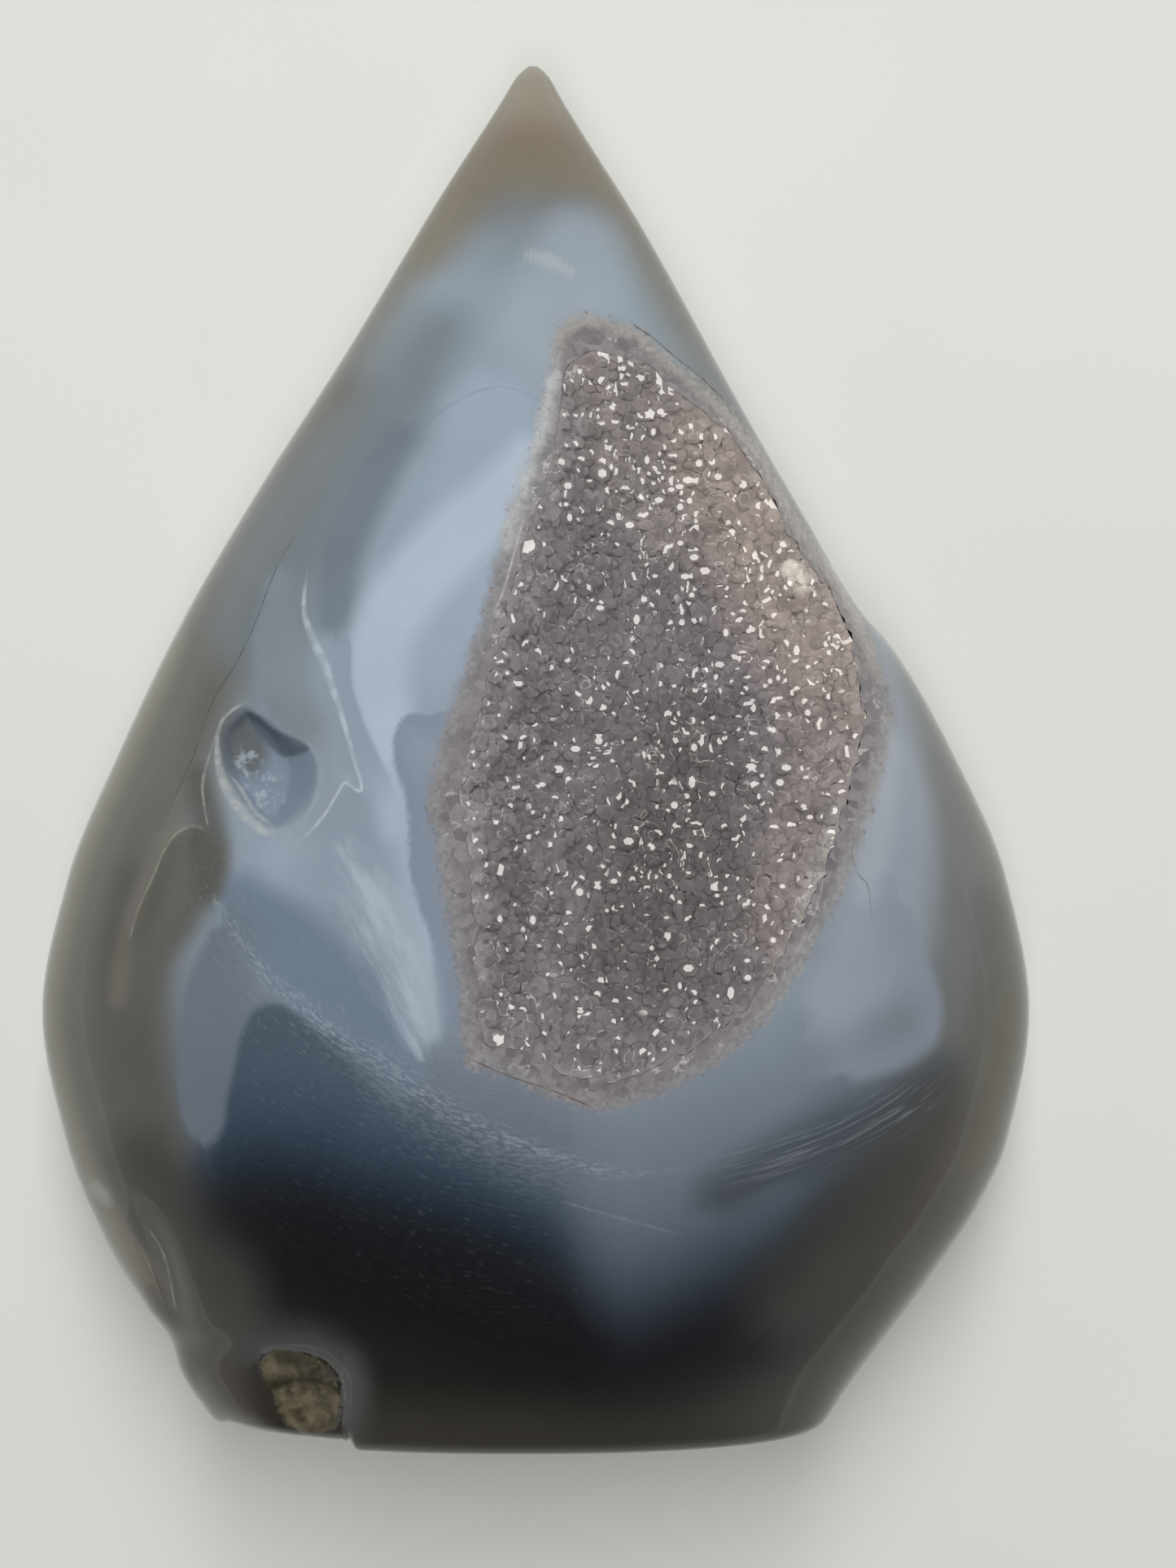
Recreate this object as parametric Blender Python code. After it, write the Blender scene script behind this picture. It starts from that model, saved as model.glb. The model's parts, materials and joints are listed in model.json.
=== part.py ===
"""A polished agate teardrop with a hollow of quartz crystals in its front face.

The stone lies on the flat of its back. +Z is up, out of the polished front with the hollow, +Y runs to the
point, and the flat cut foot faces -Y. The origin is on the ground under the middle of the stone.
All sizes below are real ones in millimetres, and MM turns them into Blender's metres.
"""

import math
import random

import bmesh
import bpy
import numpy as np
from mathutils import Vector
from mathutils.geometry import delaunay_2d_cdt

MM = 0.001

# Length of the stone, with the foot at -FOOT and the point at +FOOT
LENGTH = 115.0
FOOT = LENGTH / 2
# Height of the widest line over the ground, so that the flat of the back is ground off at this depth
WAIST = 15.0
# Fillets where the sides meet the foot, and where they close at the point
FOOT_FILLET = 1.2
POINT_FILLET = 1.6

# The two sides of the teardrop as (y, x), from the foot to the point
LEFT_SIDE = (
    (-57.5, -26.4), (-56.3, -27.5), (-52.7, -29.9), (-49.9, -30.8), (-47.2, -32.8), (-41.7, -36.2),
    (-33.4, -39.5), (-22.4, -41.5), (-11.4, -39.4), (-0.4, -34.9), (10.6, -29.6), (21.6, -23.2),
    (32.6, -16.2), (46.3, -8.0), (54.6, -2.75), (57.5, -1.2),
)
RIGHT_SIDE = (
    (-57.5, 24.2), (-56.3, 24.8), (-44.4, 33.4), (-38.9, 37.1), (-33.4, 39.6), (-22.4, 41.5), (-11.4, 39.6),
    (-0.4, 34.9), (8.2, 29.9), (11.3, 27.2), (18.8, 22.8), (27.1, 18.0), (43.6, 8.9), (54.6, 2.1),
    (57.5, 0.65),
)

# Half thickness in front of and behind the widest line, as (y, depth)
FRONT_DEPTH = (
    (-57.5, 12.4), (-43.5, 17.0), (-25.5, 20.0), (-5.5, 19.3), (14.5, 15.6), (32.5, 10.6), (46.5, 5.8),
    (54.5, 2.6), (57.5, 1.1),
)
BACK_DEPTH = (
    (-57.5, 12.2), (-43.5, 15.2), (-25.5, 17.4), (-5.5, 16.6), (14.5, 13.4), (32.5, 9.2), (46.5, 5.2),
    (54.5, 2.5), (57.5, 1.1),
)
ROUNDNESS = 2.2  # exponent of each cross-section: 2 is an ellipse, more is squarer

# Edge of the quartz in the polished face, clockwise from its top left corner
QUARTZ_EDGE = (
    (2.2, 34.1), (7.9, 34.2), (11.3, 31.4), (15.6, 28.2), (19.1, 23.9), (22.1, 18.4), (25.2, 14.4),
    (27.0, 11.0), (28.5, 5.8), (29.2, 2.0), (27.7, -3.7), (25.1, -10.9), (22.8, -15.4), (18.2, -22.3),
    (12.5, -26.6), (5.2, -29.0), (-2.1, -26.2), (-5.3, -24.7), (-5.9, -18.4), (-7.5, -9.5), (-8.2, -4.0),
    (-6.3, 3.2), (-4.0, 10.5), (-2.3, 17.5), (0.0, 25.0),
)
HOLLOW_CENTRE = (10.4, -0.5)
POLISHED_BAND = 1.7  # width of the quartz that lies flush with the polish, round the hollow
LEAST_WALL = 1.6  # agate left between the hollow and the side of the stone
HOLLOW_DEPTH = 7.5  # of the bed of the crystals under the polished face
DEEPEST = (8.7, -12.0)  # a further dip of the bed, towards the foot
DIP_DEPTH = 2.5
DIP_RADIUS = 9.0
CRUST_THICKNESS = 2.4
GAP = 0.3  # between the crust and the stone that it lines

# Crystals of the crust: spacing, and how far their points stand over the furrows between them
CRYSTAL_SPACING = 2.2
CRYSTAL_HEIGHT = (0.7, 1.7)
CRYSTAL_LEAN = 0.42
CRYSTAL_MARGIN = 0.4
SEED = 7

# Dents in the polished front as (x, y, half width, half length, tilt in degrees, depth)
DENTS = (
    (-19.6, 3.5, 6.0, 12.5, -10, 1.5),  # long scoop
    (-21.0, -2.2, 4.6, 5.6, 14, 2.7),  # oval pit in its lower end
    (-31.0, -11.5, 2.8, 8.5, -16, 0.9),  # furrow towards the left side
    (-30.4, -43.0, 1.8, 5.0, 16, 1.0),  # nicks over the step in the left side
    (-18.6, -52.8, 3.9, 3.6, 0, 1.9),  # pocket of brown rind at the foot
)
DENT_SHARPNESS = 1.4
THIN = 5.0  # dents fade where the stone in front of its widest line is thinner than this

# Mesh: columns all round, and rings across each surface
COLUMNS = 116
FLOOR_RINGS = 3
FRONT_RINGS = 15
BACK_RINGS = 6
CRUST_RINGS = 3


def curve_through(points, at):
    """Value at each place of the smooth curve through (place, value) points, of cubics that never overshoot."""
    place, value = np.array(points, float).T
    step = np.diff(place)
    slope = np.diff(value) / step
    tangent = np.zeros(len(place))
    same_way = slope[:-1] * slope[1:] > 0
    first, second = slope[:-1][same_way], slope[1:][same_way]
    tangent[1:-1][same_way] = 2 * first * second / (first + second)
    tangent[0], tangent[-1] = slope[0], slope[-1]
    at = np.clip(at, place[0], place[-1])
    piece = np.clip(np.searchsorted(place, at, side="right") - 1, 0, len(step) - 1)
    t = (at - place[piece]) / step[piece]
    ends = value[piece] * (1 + 2 * t) * (1 - t) ** 2 + value[piece + 1] * t**2 * (3 - 2 * t)
    return ends + step[piece] * (tangent[piece] * t * (1 - t) ** 2 - tangent[piece + 1] * t**2 * (1 - t))


def closed_curve(points, per_piece=24):
    """Points of the smooth closed curve through these, as a Catmull-Rom spline."""
    p = np.array(points, float)
    before, after, beyond = np.roll(p, 1, 0), np.roll(p, -1, 0), np.roll(p, -2, 0)
    t = np.linspace(0, 1, per_piece, endpoint=False)[:, None, None]
    curve = (
        2 * p
        + (after - before) * t
        + (2 * before - 5 * p + 4 * after - beyond) * t**2
        + (3 * p - before - 3 * after + beyond) * t**3
    ) / 2
    return curve.transpose(1, 0, 2).reshape(-1, 2)


def point_taper(y):
    """How much of a section is left as the point closes in a round end."""
    rise = np.clip((y - (FOOT - POINT_FILLET)) / POINT_FILLET, 0, 1)
    return np.sqrt(1 - rise**2)


def foot_inset(y):
    """How far a quarter-round fillet draws a section in, next to the flat foot."""
    rise = np.clip(FOOT_FILLET - (y + FOOT), 0, FOOT_FILLET)
    return FOOT_FILLET - np.sqrt(FOOT_FILLET**2 - rise**2)


def half_width(y):
    """(middle, half width) of the cross-section at y."""
    left, right = curve_through(LEFT_SIDE, y), curve_through(RIGHT_SIDE, y)
    return (left + right) / 2, (right - left) / 2 * point_taper(y) - foot_inset(y)


def surface_depth(x, y, depths):
    """Distance of the surface from the widest line: a superellipse over each cross-section."""
    middle, half = half_width(y)
    share = np.clip(np.abs(x - middle) / np.maximum(half, 1e-6), 0, 1)
    depth = curve_through(depths, y) * point_taper(y) - foot_inset(y)
    return depth * (1 - share**ROUNDNESS) ** (1 / ROUNDNESS)


def dent_depth(x, y):
    """Depth of all the dents together, each a bell-shaped bowl on a tilted oval."""
    total = np.zeros(np.shape(x))
    for middle_x, middle_y, wide, long, tilt, depth in DENTS:
        turn = math.radians(tilt)
        across = ((x - middle_x) * math.cos(turn) + (y - middle_y) * math.sin(turn)) / wide
        along = ((y - middle_y) * math.cos(turn) - (x - middle_x) * math.sin(turn)) / long
        total += depth * np.exp(-((across**2 + along**2) ** DENT_SHARPNESS))
    return total


def front_z(x, y):
    """The polished front, dents included."""
    depth = surface_depth(x, y, FRONT_DEPTH)
    return WAIST + depth - dent_depth(x, y) * np.clip(depth / THIN, 0, 1)


def back_z(x, y):
    """The domed back, ground flat where it would reach below the ground."""
    return np.maximum(WAIST - surface_depth(x, y, BACK_DEPTH), 0.0)


def silhouette(count):
    """Points spaced evenly round the outline, from the middle of the foot to the left, up, and down again."""
    rise = -FOOT * np.cos(np.linspace(0, math.pi, 1500))
    middle, half = half_width(rise)
    left = np.column_stack([middle - half, rise])
    right = np.column_stack([middle + half, rise])[::-1]
    start = [(left[0, 0] + right[-1, 0]) / 2, -FOOT]
    loop = np.vstack([[start], left, right, [start]])
    length = np.concatenate([[0], np.cumsum(np.linalg.norm(np.diff(loop, axis=0), axis=1))])
    even = np.linspace(0, length[-1], count, endpoint=False)
    return np.column_stack([np.interp(even, length, loop[:, 0]), np.interp(even, length, loop[:, 1])])


def edge_radius(curve, heading):
    """Distance of a closed curve from the centre of the hollow in each direction."""
    away = curve - np.array(HOLLOW_CENTRE)
    angle = np.arctan2(away[:, 1], away[:, 0])
    order = np.argsort(angle)
    return np.interp(heading, angle[order], np.linalg.norm(away, axis=1)[order], period=2 * math.pi)


def columns():
    """For each column: its direction from the centre of the hollow, and the lip's and the outline's radius."""
    away = silhouette(COLUMNS) - np.array(HOLLOW_CENTRE)
    reach = np.linalg.norm(away, axis=1)
    quartz = edge_radius(closed_curve(QUARTZ_EDGE), np.arctan2(away[:, 1], away[:, 0]))
    lip = np.minimum(quartz - POLISHED_BAND, reach - LEAST_WALL)
    return away / reach[:, None], lip, reach


def ring(direction, radius):
    """(x, y) of a ring of points, one on each column, at these radii from the centre of the hollow."""
    flat = np.array(HOLLOW_CENTRE) + direction * radius[:, None]
    return flat[:, 0], np.maximum(flat[:, 1], -FOOT)


def bed_depth(x, y, share):
    """Depth of the crystals' bed under the polish: none at the lip, where share is 1, and steepest there."""
    inward = 1 - np.clip(share, 0, 1) ** 2.6
    away = ((x - DEEPEST[0]) ** 2 + (y - DEEPEST[1]) ** 2) / DIP_RADIUS**2
    return inward * (HOLLOW_DEPTH + DIP_DEPTH * np.exp(-away))


def ground_edge(outline):
    """For each column of the back, where on the way in from the outline the flat of the back begins."""
    centre = np.array([outline[:, 0].mean(), -FOOT / 3])
    near, far = np.zeros(len(outline)), np.ones(len(outline))
    for _ in range(30):
        share = (near + far) / 2
        at = centre + (outline - centre) * share[:, None]
        on_flat = surface_depth(at[:, 0], at[:, 1], BACK_DEPTH) > WAIST
        near, far = np.where(on_flat, share, near), np.where(on_flat, far, share)
    return centre + (outline - centre) * near[:, None]


def bridge(mesh, first, second):
    """Quads between two rings of vertices."""
    for i in range(len(first)):
        j = (i + 1) % len(first)
        mesh.faces.new((first[i], first[j], second[j], second[i]))


def add_ring(mesh, x, y, z):
    return [mesh.verts.new(Vector(p) * MM) for p in zip(x.tolist(), y.tolist(), z.tolist())]


def cap(mesh, last, x, y, z):
    """Closes a surface at its pole with one vertex and a fan."""
    pole = mesh.verts.new(Vector((x, y, z)) * MM)
    for i in range(len(last)):
        mesh.faces.new((last[i], last[(i + 1) % len(last)], pole))


def finish(mesh, name, colour, roughness):
    """Welds what coincides, turns every face outwards and makes the named object with its own material."""
    bmesh.ops.remove_doubles(mesh, verts=mesh.verts, dist=2e-6)
    bmesh.ops.dissolve_degenerate(mesh, edges=mesh.edges, dist=1e-6)
    bmesh.ops.triangulate(mesh, faces=mesh.faces)
    bmesh.ops.recalc_face_normals(mesh, faces=mesh.faces)
    data = bpy.data.meshes.new(name)
    mesh.to_mesh(data)
    mesh.free()
    material = bpy.data.materials.new(name)
    material.use_nodes = True
    shader = material.node_tree.nodes["Principled BSDF"]
    shader.inputs["Base Color"].default_value = (*colour, 1)
    shader.inputs["Roughness"].default_value = roughness
    shader.inputs["Metallic"].default_value = 0.0
    data.materials.append(material)
    made = bpy.data.objects.new(name, data)
    bpy.context.scene.collection.objects.link(made)
    return made


def agate_stone():
    """The polished stone: floor of the hollow, front, flat foot and back, as rings from the floor to the back."""
    direction, lip, reach = columns()
    mesh = bmesh.new()
    under = CRUST_THICKNESS + GAP
    rings = []
    for share in np.linspace(0, 1, FLOOR_RINGS + 1)[1:]:
        x, y = ring(direction, lip * share)
        rings.append(add_ring(mesh, x, y, front_z(x, y) - bed_depth(x, y, share) - under))
    # The front starts at the lip. Its rings draw together towards the outline, where it turns edge on
    for share in np.sin(np.linspace(0, math.pi / 2, FRONT_RINGS)):
        x, y = ring(direction, lip + (reach - lip) * share)
        rings.append(add_ring(mesh, x, y, front_z(x, y)))
    # The back starts at the outline. Along the foot the step across to it is the flat cut
    outline = np.column_stack(ring(direction, reach))
    inner = ground_edge(outline)
    for share in 1 - np.cos(np.linspace(0, math.pi / 2, BACK_RINGS)):
        x, y = (outline + (inner - outline) * share).T
        rings.append(add_ring(mesh, x, y, back_z(x, y)))
    for first, second in zip(rings, rings[1:]):
        bridge(mesh, first, second)
    x, y = HOLLOW_CENTRE
    floor = front_z(np.array([x]), np.array([y])) - bed_depth(x, y, 0.0) - under
    cap(mesh, rings[0], x, y, floor[0])
    mesh.faces.new(rings[-1])
    return finish(mesh, "agate_stone", (0.20, 0.24, 0.30), 0.12)


def crystal_net(inside):
    """A honeycomb of crystals seen from above: their points, the corners between them, and the edges of each.

    inside(x, y) says which places are on the bed. A crystal's six corners come from the centres around it.
    """
    rng = random.Random(SEED)
    centre_x, centre_y = HOLLOW_CENTRE
    rows = range(-24, 25)
    place = {}
    for j in rows:
        for i in rows:
            x = centre_x + CRYSTAL_SPACING * (i + 0.5 * (j % 2)) + rng.uniform(-CRYSTAL_LEAN, CRYSTAL_LEAN)
            y = centre_y + CRYSTAL_SPACING * j * math.sqrt(3) / 2 + rng.uniform(-CRYSTAL_LEAN, CRYSTAL_LEAN)
            place[i, j] = (x, y)
    corners, edges, points = {}, set(), []
    for (i, j), (x, y) in place.items():
        right = j % 2
        around = (
            (i + 1, j), (i + right, j + 1), (i + right - 1, j + 1),
            (i - 1, j), (i + right - 1, j - 1), (i + right, j - 1),
        )
        if not all(n in place for n in around):
            continue
        keys = [frozenset(((i, j), around[k], around[(k + 1) % 6])) for k in range(6)]
        spots = [tuple(np.mean([place[n] for n in sorted(key)], axis=0)) for key in keys]
        if not all(inside(*spot) for spot in spots):
            continue
        for key, spot in zip(keys, spots):
            corners.setdefault(key, spot)
        edges |= {frozenset((keys[k], keys[(k + 1) % 6])) for k in range(6)}
        lean_x, lean_y = (rng.uniform(-CRYSTAL_LEAN, CRYSTAL_LEAN) for _ in range(2))
        points.append((x + lean_x, y + lean_y, rng.uniform(*CRYSTAL_HEIGHT)))
    return points, corners, edges


def druzy_crust():
    """The crust that lines the hollow: a bed with six-sided crystal points on it, and a smooth underside."""
    direction, lip, _ = columns()
    lip = lip - GAP
    angles = np.arctan2(direction[:, 1], direction[:, 0])
    order = np.argsort(angles)
    centre_x, centre_y = HOLLOW_CENTRE

    def reach_to(x, y):
        """(distance from the centre, distance of the crust's edge in that direction)."""
        heading = np.arctan2(y - centre_y, x - centre_x)
        edge = np.interp(heading, angles[order], lip[order], period=2 * math.pi)
        return math.hypot(x - centre_x, y - centre_y), edge

    def inside(x, y):
        away, edge = reach_to(x, y)
        return away < edge - CRYSTAL_MARGIN

    def bed_z(x, y, raised=0.0):
        """The bed, or a place raised over it, cut off by the polish."""
        away, edge = reach_to(x, y)
        polish = float(front_z(np.array([x]), np.array([y]))[0])
        return min(polish - float(bed_depth(x, y, away / edge)) + raised, polish)

    points, corners, edges = crystal_net(inside)
    rim = list(zip(*(side.tolist() for side in ring(direction, lip))))
    flat = [Vector(spot) for spot in rim]
    high = [bed_z(*spot) for spot in rim]
    number = {}
    for key, spot in corners.items():
        number[key] = len(flat)
        flat.append(Vector(spot))
        high.append(bed_z(*spot))
    for x, y, raised in points:
        flat.append(Vector((x, y)))
        high.append(bed_z(x, y, raised))
    borders = [(i, (i + 1) % COLUMNS) for i in range(COLUMNS)]
    borders += sorted(tuple(sorted(number[key] for key in edge)) for edge in edges)
    spots, _, faces, origin, _, _ = delaunay_2d_cdt(flat, borders, [], 1, 1e-7)

    mesh = bmesh.new()
    top = [mesh.verts.new(Vector((s.x, s.y, high[o[0]])) * MM) for s, o in zip(spots, origin)]
    for face in faces:
        mesh.faces.new([top[i] for i in face])
    made_from = {o[0]: vert for o, vert in zip(origin, top)}
    last = [made_from[i] for i in range(COLUMNS)]
    for share in np.linspace(1, 0, CRUST_RINGS, endpoint=False):
        x, y = ring(direction, lip * share)
        following = add_ring(mesh, x, y, front_z(x, y) - bed_depth(x, y, share) - CRUST_THICKNESS)
        bridge(mesh, last, following)
        last = following
    cap(mesh, last, centre_x, centre_y, bed_z(centre_x, centre_y) - CRUST_THICKNESS)
    return finish(mesh, "druzy_crust", (0.27, 0.23, 0.25), 0.2)


for old in list(bpy.data.objects):
    bpy.data.objects.remove(old)
agate_stone()
druzy_crust()
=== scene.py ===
# %% [markdown]
# # Druzy agate teardrop
# The object is one stone. A block of banded agate was ground to a teardrop, cut flat at the foot, polished all
# over and ground flat on the back, where it lies. A natural hollow in its front is lined with thousands of small
# quartz crystals, which is what druzy means. Two pieces are made here: the polished stone, and the crust of
# crystals. Both keep the sizes of the CAD solids they stand for. All sizes below are in millimetres, with +Z up
# out of the front, +Y to the point and the foot facing -Y.

import json
import math

import bpy
import numpy as np
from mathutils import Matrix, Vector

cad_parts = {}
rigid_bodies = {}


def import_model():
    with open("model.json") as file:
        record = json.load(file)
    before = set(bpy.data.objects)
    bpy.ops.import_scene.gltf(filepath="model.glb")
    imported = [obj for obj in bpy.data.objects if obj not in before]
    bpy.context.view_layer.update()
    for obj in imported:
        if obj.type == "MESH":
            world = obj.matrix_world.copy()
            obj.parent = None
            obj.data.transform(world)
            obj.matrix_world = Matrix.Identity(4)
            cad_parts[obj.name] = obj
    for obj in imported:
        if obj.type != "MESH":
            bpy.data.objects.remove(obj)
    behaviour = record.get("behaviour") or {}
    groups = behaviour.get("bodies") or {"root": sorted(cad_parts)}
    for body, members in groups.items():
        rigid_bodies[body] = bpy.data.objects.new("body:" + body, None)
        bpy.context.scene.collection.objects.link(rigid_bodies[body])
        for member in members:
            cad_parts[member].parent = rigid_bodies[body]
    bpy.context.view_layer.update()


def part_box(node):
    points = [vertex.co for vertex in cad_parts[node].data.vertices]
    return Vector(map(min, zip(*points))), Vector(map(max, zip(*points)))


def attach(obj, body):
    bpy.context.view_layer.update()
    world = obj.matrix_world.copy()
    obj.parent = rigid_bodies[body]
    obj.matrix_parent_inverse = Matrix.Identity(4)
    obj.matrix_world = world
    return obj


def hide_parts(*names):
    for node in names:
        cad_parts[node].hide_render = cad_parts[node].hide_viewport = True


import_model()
MM = 0.001
stone_low, stone_high = (np.array(corner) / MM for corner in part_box("agate_stone"))
print("CAD stone from", stone_low.round(1), "to", stone_high.round(1), "mm")

# %% [markdown]
# ## The outline and the dome
# The stone is symmetrical in no direction, so its two sides are two measured curves, given by a few points each.
# A spline could overshoot between points that are close together and put a waist into the outline. The curves
# here are made of cubics whose slopes are the harmonic mean of their neighbours', and those never overshoot.
# The thickness in front of the widest line and behind it are two more such curves, and each cross-section is a
# superellipse, which is a little squarer than an ellipse.

# %% Sizes of the polished body
FOOT = 57.5
WAIST = 15.0
FOOT_FILLET = 1.2
POINT_FILLET = 1.6
ROUNDNESS = 2.2
LEFT_SIDE = (
    (-57.5, -26.4), (-56.3, -27.5), (-52.7, -29.9), (-49.9, -30.8), (-47.2, -32.8), (-41.7, -36.2),
    (-33.4, -39.5), (-22.4, -41.5), (-11.4, -39.4), (-0.4, -34.9), (10.6, -29.6), (21.6, -23.2),
    (32.6, -16.2), (46.3, -8.0), (54.6, -2.75), (57.5, -1.2),
)
RIGHT_SIDE = (
    (-57.5, 24.2), (-56.3, 24.8), (-44.4, 33.4), (-38.9, 37.1), (-33.4, 39.6), (-22.4, 41.5), (-11.4, 39.6),
    (-0.4, 34.9), (8.2, 29.9), (11.3, 27.2), (18.8, 22.8), (27.1, 18.0), (43.6, 8.9), (54.6, 2.1),
    (57.5, 0.65),
)
FRONT_DEPTH = (
    (-57.5, 12.4), (-43.5, 17.0), (-25.5, 20.0), (-5.5, 19.3), (14.5, 15.6), (32.5, 10.6), (46.5, 5.8),
    (54.5, 2.6), (57.5, 1.1),
)
BACK_DEPTH = (
    (-57.5, 12.2), (-43.5, 15.2), (-25.5, 17.4), (-5.5, 16.6), (14.5, 13.4), (32.5, 9.2), (46.5, 5.2),
    (54.5, 2.5), (57.5, 1.1),
)
print("body:", 2 * FOOT, "mm long")


# %% Curves through points
def curve_through(points, at):
    """Value at each place of the curve through (place, value) points: a cubic between each two, with the
    harmonic mean of the two slopes as its slope at a point, and level where they differ in sign."""
    place = np.array([p[0] for p in points], float)
    value = np.array([p[1] for p in points], float)
    if value.ndim == 2:
        return np.stack([curve_through(list(zip(place, v)), at) for v in value.T], axis=-1)
    step = np.diff(place)
    slope = np.diff(value) / step
    tangent = np.zeros(len(place))
    same_way = slope[:-1] * slope[1:] > 0
    first, second = slope[:-1][same_way], slope[1:][same_way]
    tangent[1:-1][same_way] = 2 * first * second / (first + second)
    tangent[0], tangent[-1] = slope[0], slope[-1]
    at = np.clip(at, place[0], place[-1])
    piece = np.clip(np.searchsorted(place, at, side="right") - 1, 0, len(step) - 1)
    t = (at - place[piece]) / step[piece]
    ends = value[piece] * (1 + 2 * t) * (1 - t) ** 2 + value[piece + 1] * t**2 * (3 - 2 * t)
    return ends + step[piece] * (tangent[piece] * t * (1 - t) ** 2 - tangent[piece + 1] * t**2 * (1 - t))


def spline(points, closed=False, per_piece=6):
    """Points of the smooth curve through these rows of numbers, as a Catmull-Rom spline."""
    p = np.array(points, float)
    p = np.vstack([p[-1], p, p[:2]]) if closed else np.vstack([2 * p[0] - p[1], p, 2 * p[-1] - p[-2]])
    a, b, c, d = p[:-3], p[1:-2], p[2:-1], p[3:]
    t = np.linspace(0, 1, per_piece, endpoint=False)[:, None, None]
    curve = (2 * b + (c - a) * t + (2 * a - 5 * b + 4 * c - d) * t**2 + (3 * b - a - 3 * c + d) * t**3) / 2
    curve = curve.transpose(1, 0, 2).reshape(-1, p.shape[1])
    return curve if closed else np.vstack([curve, points[-1]])


def smooth(low, high, value):
    """0 below low and 1 above high, with the easy S-curve 3t^2 - 2t^3 between them."""
    t = np.clip((value - low) / (high - low), 0, 1)
    return t * t * (3 - 2 * t)


# %% Cross-sections
def point_taper(y):
    """Part of a section that is left where the point closes in a round end."""
    rise = np.clip((y - (FOOT - POINT_FILLET)) / POINT_FILLET, 0, 1)
    return np.sqrt(1 - rise**2)


def foot_inset(y):
    """How far a quarter-round fillet draws a section in, next to the flat foot."""
    rise = np.clip(FOOT_FILLET - (y + FOOT), 0, FOOT_FILLET)
    return FOOT_FILLET - np.sqrt(FOOT_FILLET**2 - rise**2)


def half_width(y):
    """(middle, half width) of the cross-section at y."""
    left, right = curve_through(LEFT_SIDE, y), curve_through(RIGHT_SIDE, y)
    return (left + right) / 2, (right - left) / 2 * point_taper(y) - foot_inset(y)


def width_share(x, y):
    """How far out a place lies in its cross-section: 0 in the middle, 1 on the outline."""
    middle, half = half_width(y)
    return np.clip(np.abs(x - middle) / np.maximum(half, 1e-6), 0, 1)


def surface_depth(x, y, depths):
    """Distance of the surface from the widest line: depth times (1 - share^2.2)^(1/2.2)."""
    depth = curve_through(depths, y) * point_taper(y) - foot_inset(y)
    return depth * (1 - width_share(x, y) ** ROUNDNESS) ** (1 / ROUNDNESS)


# %% [markdown]
# ## Marks in the polish
# The left of the front was ground down around a natural cavity: there is a long scoop with an oval pit in its
# lower end, and round it run thin creases that catch the light. Such marks could be sculpted by hand. Here each
# one is a path of a few points, and its depth is a function of the distance from that path, so that a mark can
# be moved or deepened by its numbers. The same distances later tint the crest of each crease: mostly a painted
# highlight where a crest catches the light, and in the seam a painted shade.

# %% Distance from a path
def from_path(x, y, path, closed=False, per_piece=6):
    """For each place: (distance from the path, positive to the right of travel; share of the way along it where
    it is nearest; the path's third number there, if it has one). Each straight bit is tried in turn."""
    line = spline(path, closed, per_piece)
    if closed:
        line = np.vstack([line, line[:1]])
    steps = np.diff(line, axis=0)
    lengths = np.hypot(steps[:, 0], steps[:, 1])
    start = np.concatenate([[0], np.cumsum(lengths)])
    best = np.full(np.shape(x), 1e9)
    side, along, extra = np.ones(np.shape(x)), np.zeros(np.shape(x)), np.zeros(np.shape(x))
    for first, step, length, before in zip(line, steps, lengths, start):
        over_x, over_y = x - first[0], y - first[1]
        t = np.clip((over_x * step[0] + over_y * step[1]) / length**2, 0, 1)
        away = np.hypot(over_x - t * step[0], over_y - t * step[1])
        nearer = away < best
        best = np.where(nearer, away, best)
        side = np.where(nearer, np.where(step[1] * over_x - step[0] * over_y > 0, 1.0, -1.0), side)
        along = np.where(nearer, (before + t * length) / start[-1], along)
        if len(first) > 2:
            extra = np.where(nearer, first[2] + t * step[2], extra)
    return best * side, along, extra


def inside_of(x, y, path):
    """Distance inside a closed outline, negative outside. Twice the outline's signed area is the sum of the
    cross products of neighbouring corners, and its sign says which way round the outline runs."""
    offset, _, _ = from_path(x, y, path, closed=True)
    corner = np.array(path, float)
    after = np.roll(corner, -1, axis=0)
    area = np.sum(corner[:, 0] * after[:, 1] - after[:, 0] * corner[:, 1])
    return -np.sign(area) * offset


# %% Dents, creases and the pit
DENTS = (
    (-19.6, 3.5, 6.0, 12.5, -10, 1.5),
    (-21.0, -2.2, 4.6, 5.6, 14, 2.7),
    (-31.0, -11.5, 2.8, 8.5, -16, 0.9),
    (-30.4, -43.0, 1.8, 5.0, 16, 1.0),
    (-18.6, -52.8, 3.9, 3.6, 0, 1.9),
)
DENT_SHARPNESS = 1.4
THIN = 5.0
PIT = (
    (-23.3, 2.6), (-21.8, 2.1), (-19.7, 0.8), (-18.0, -0.2), (-17.3, -1.4), (-17.2, -2.7), (-17.4, -4.1),
    (-18.1, -5.7), (-19.4, -6.9), (-20.7, -7.3), (-22.3, -6.2), (-23.6, -4.7), (-24.6, -3.1), (-25.1, -1.0),
    (-25.0, 0.9),
)
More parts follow.
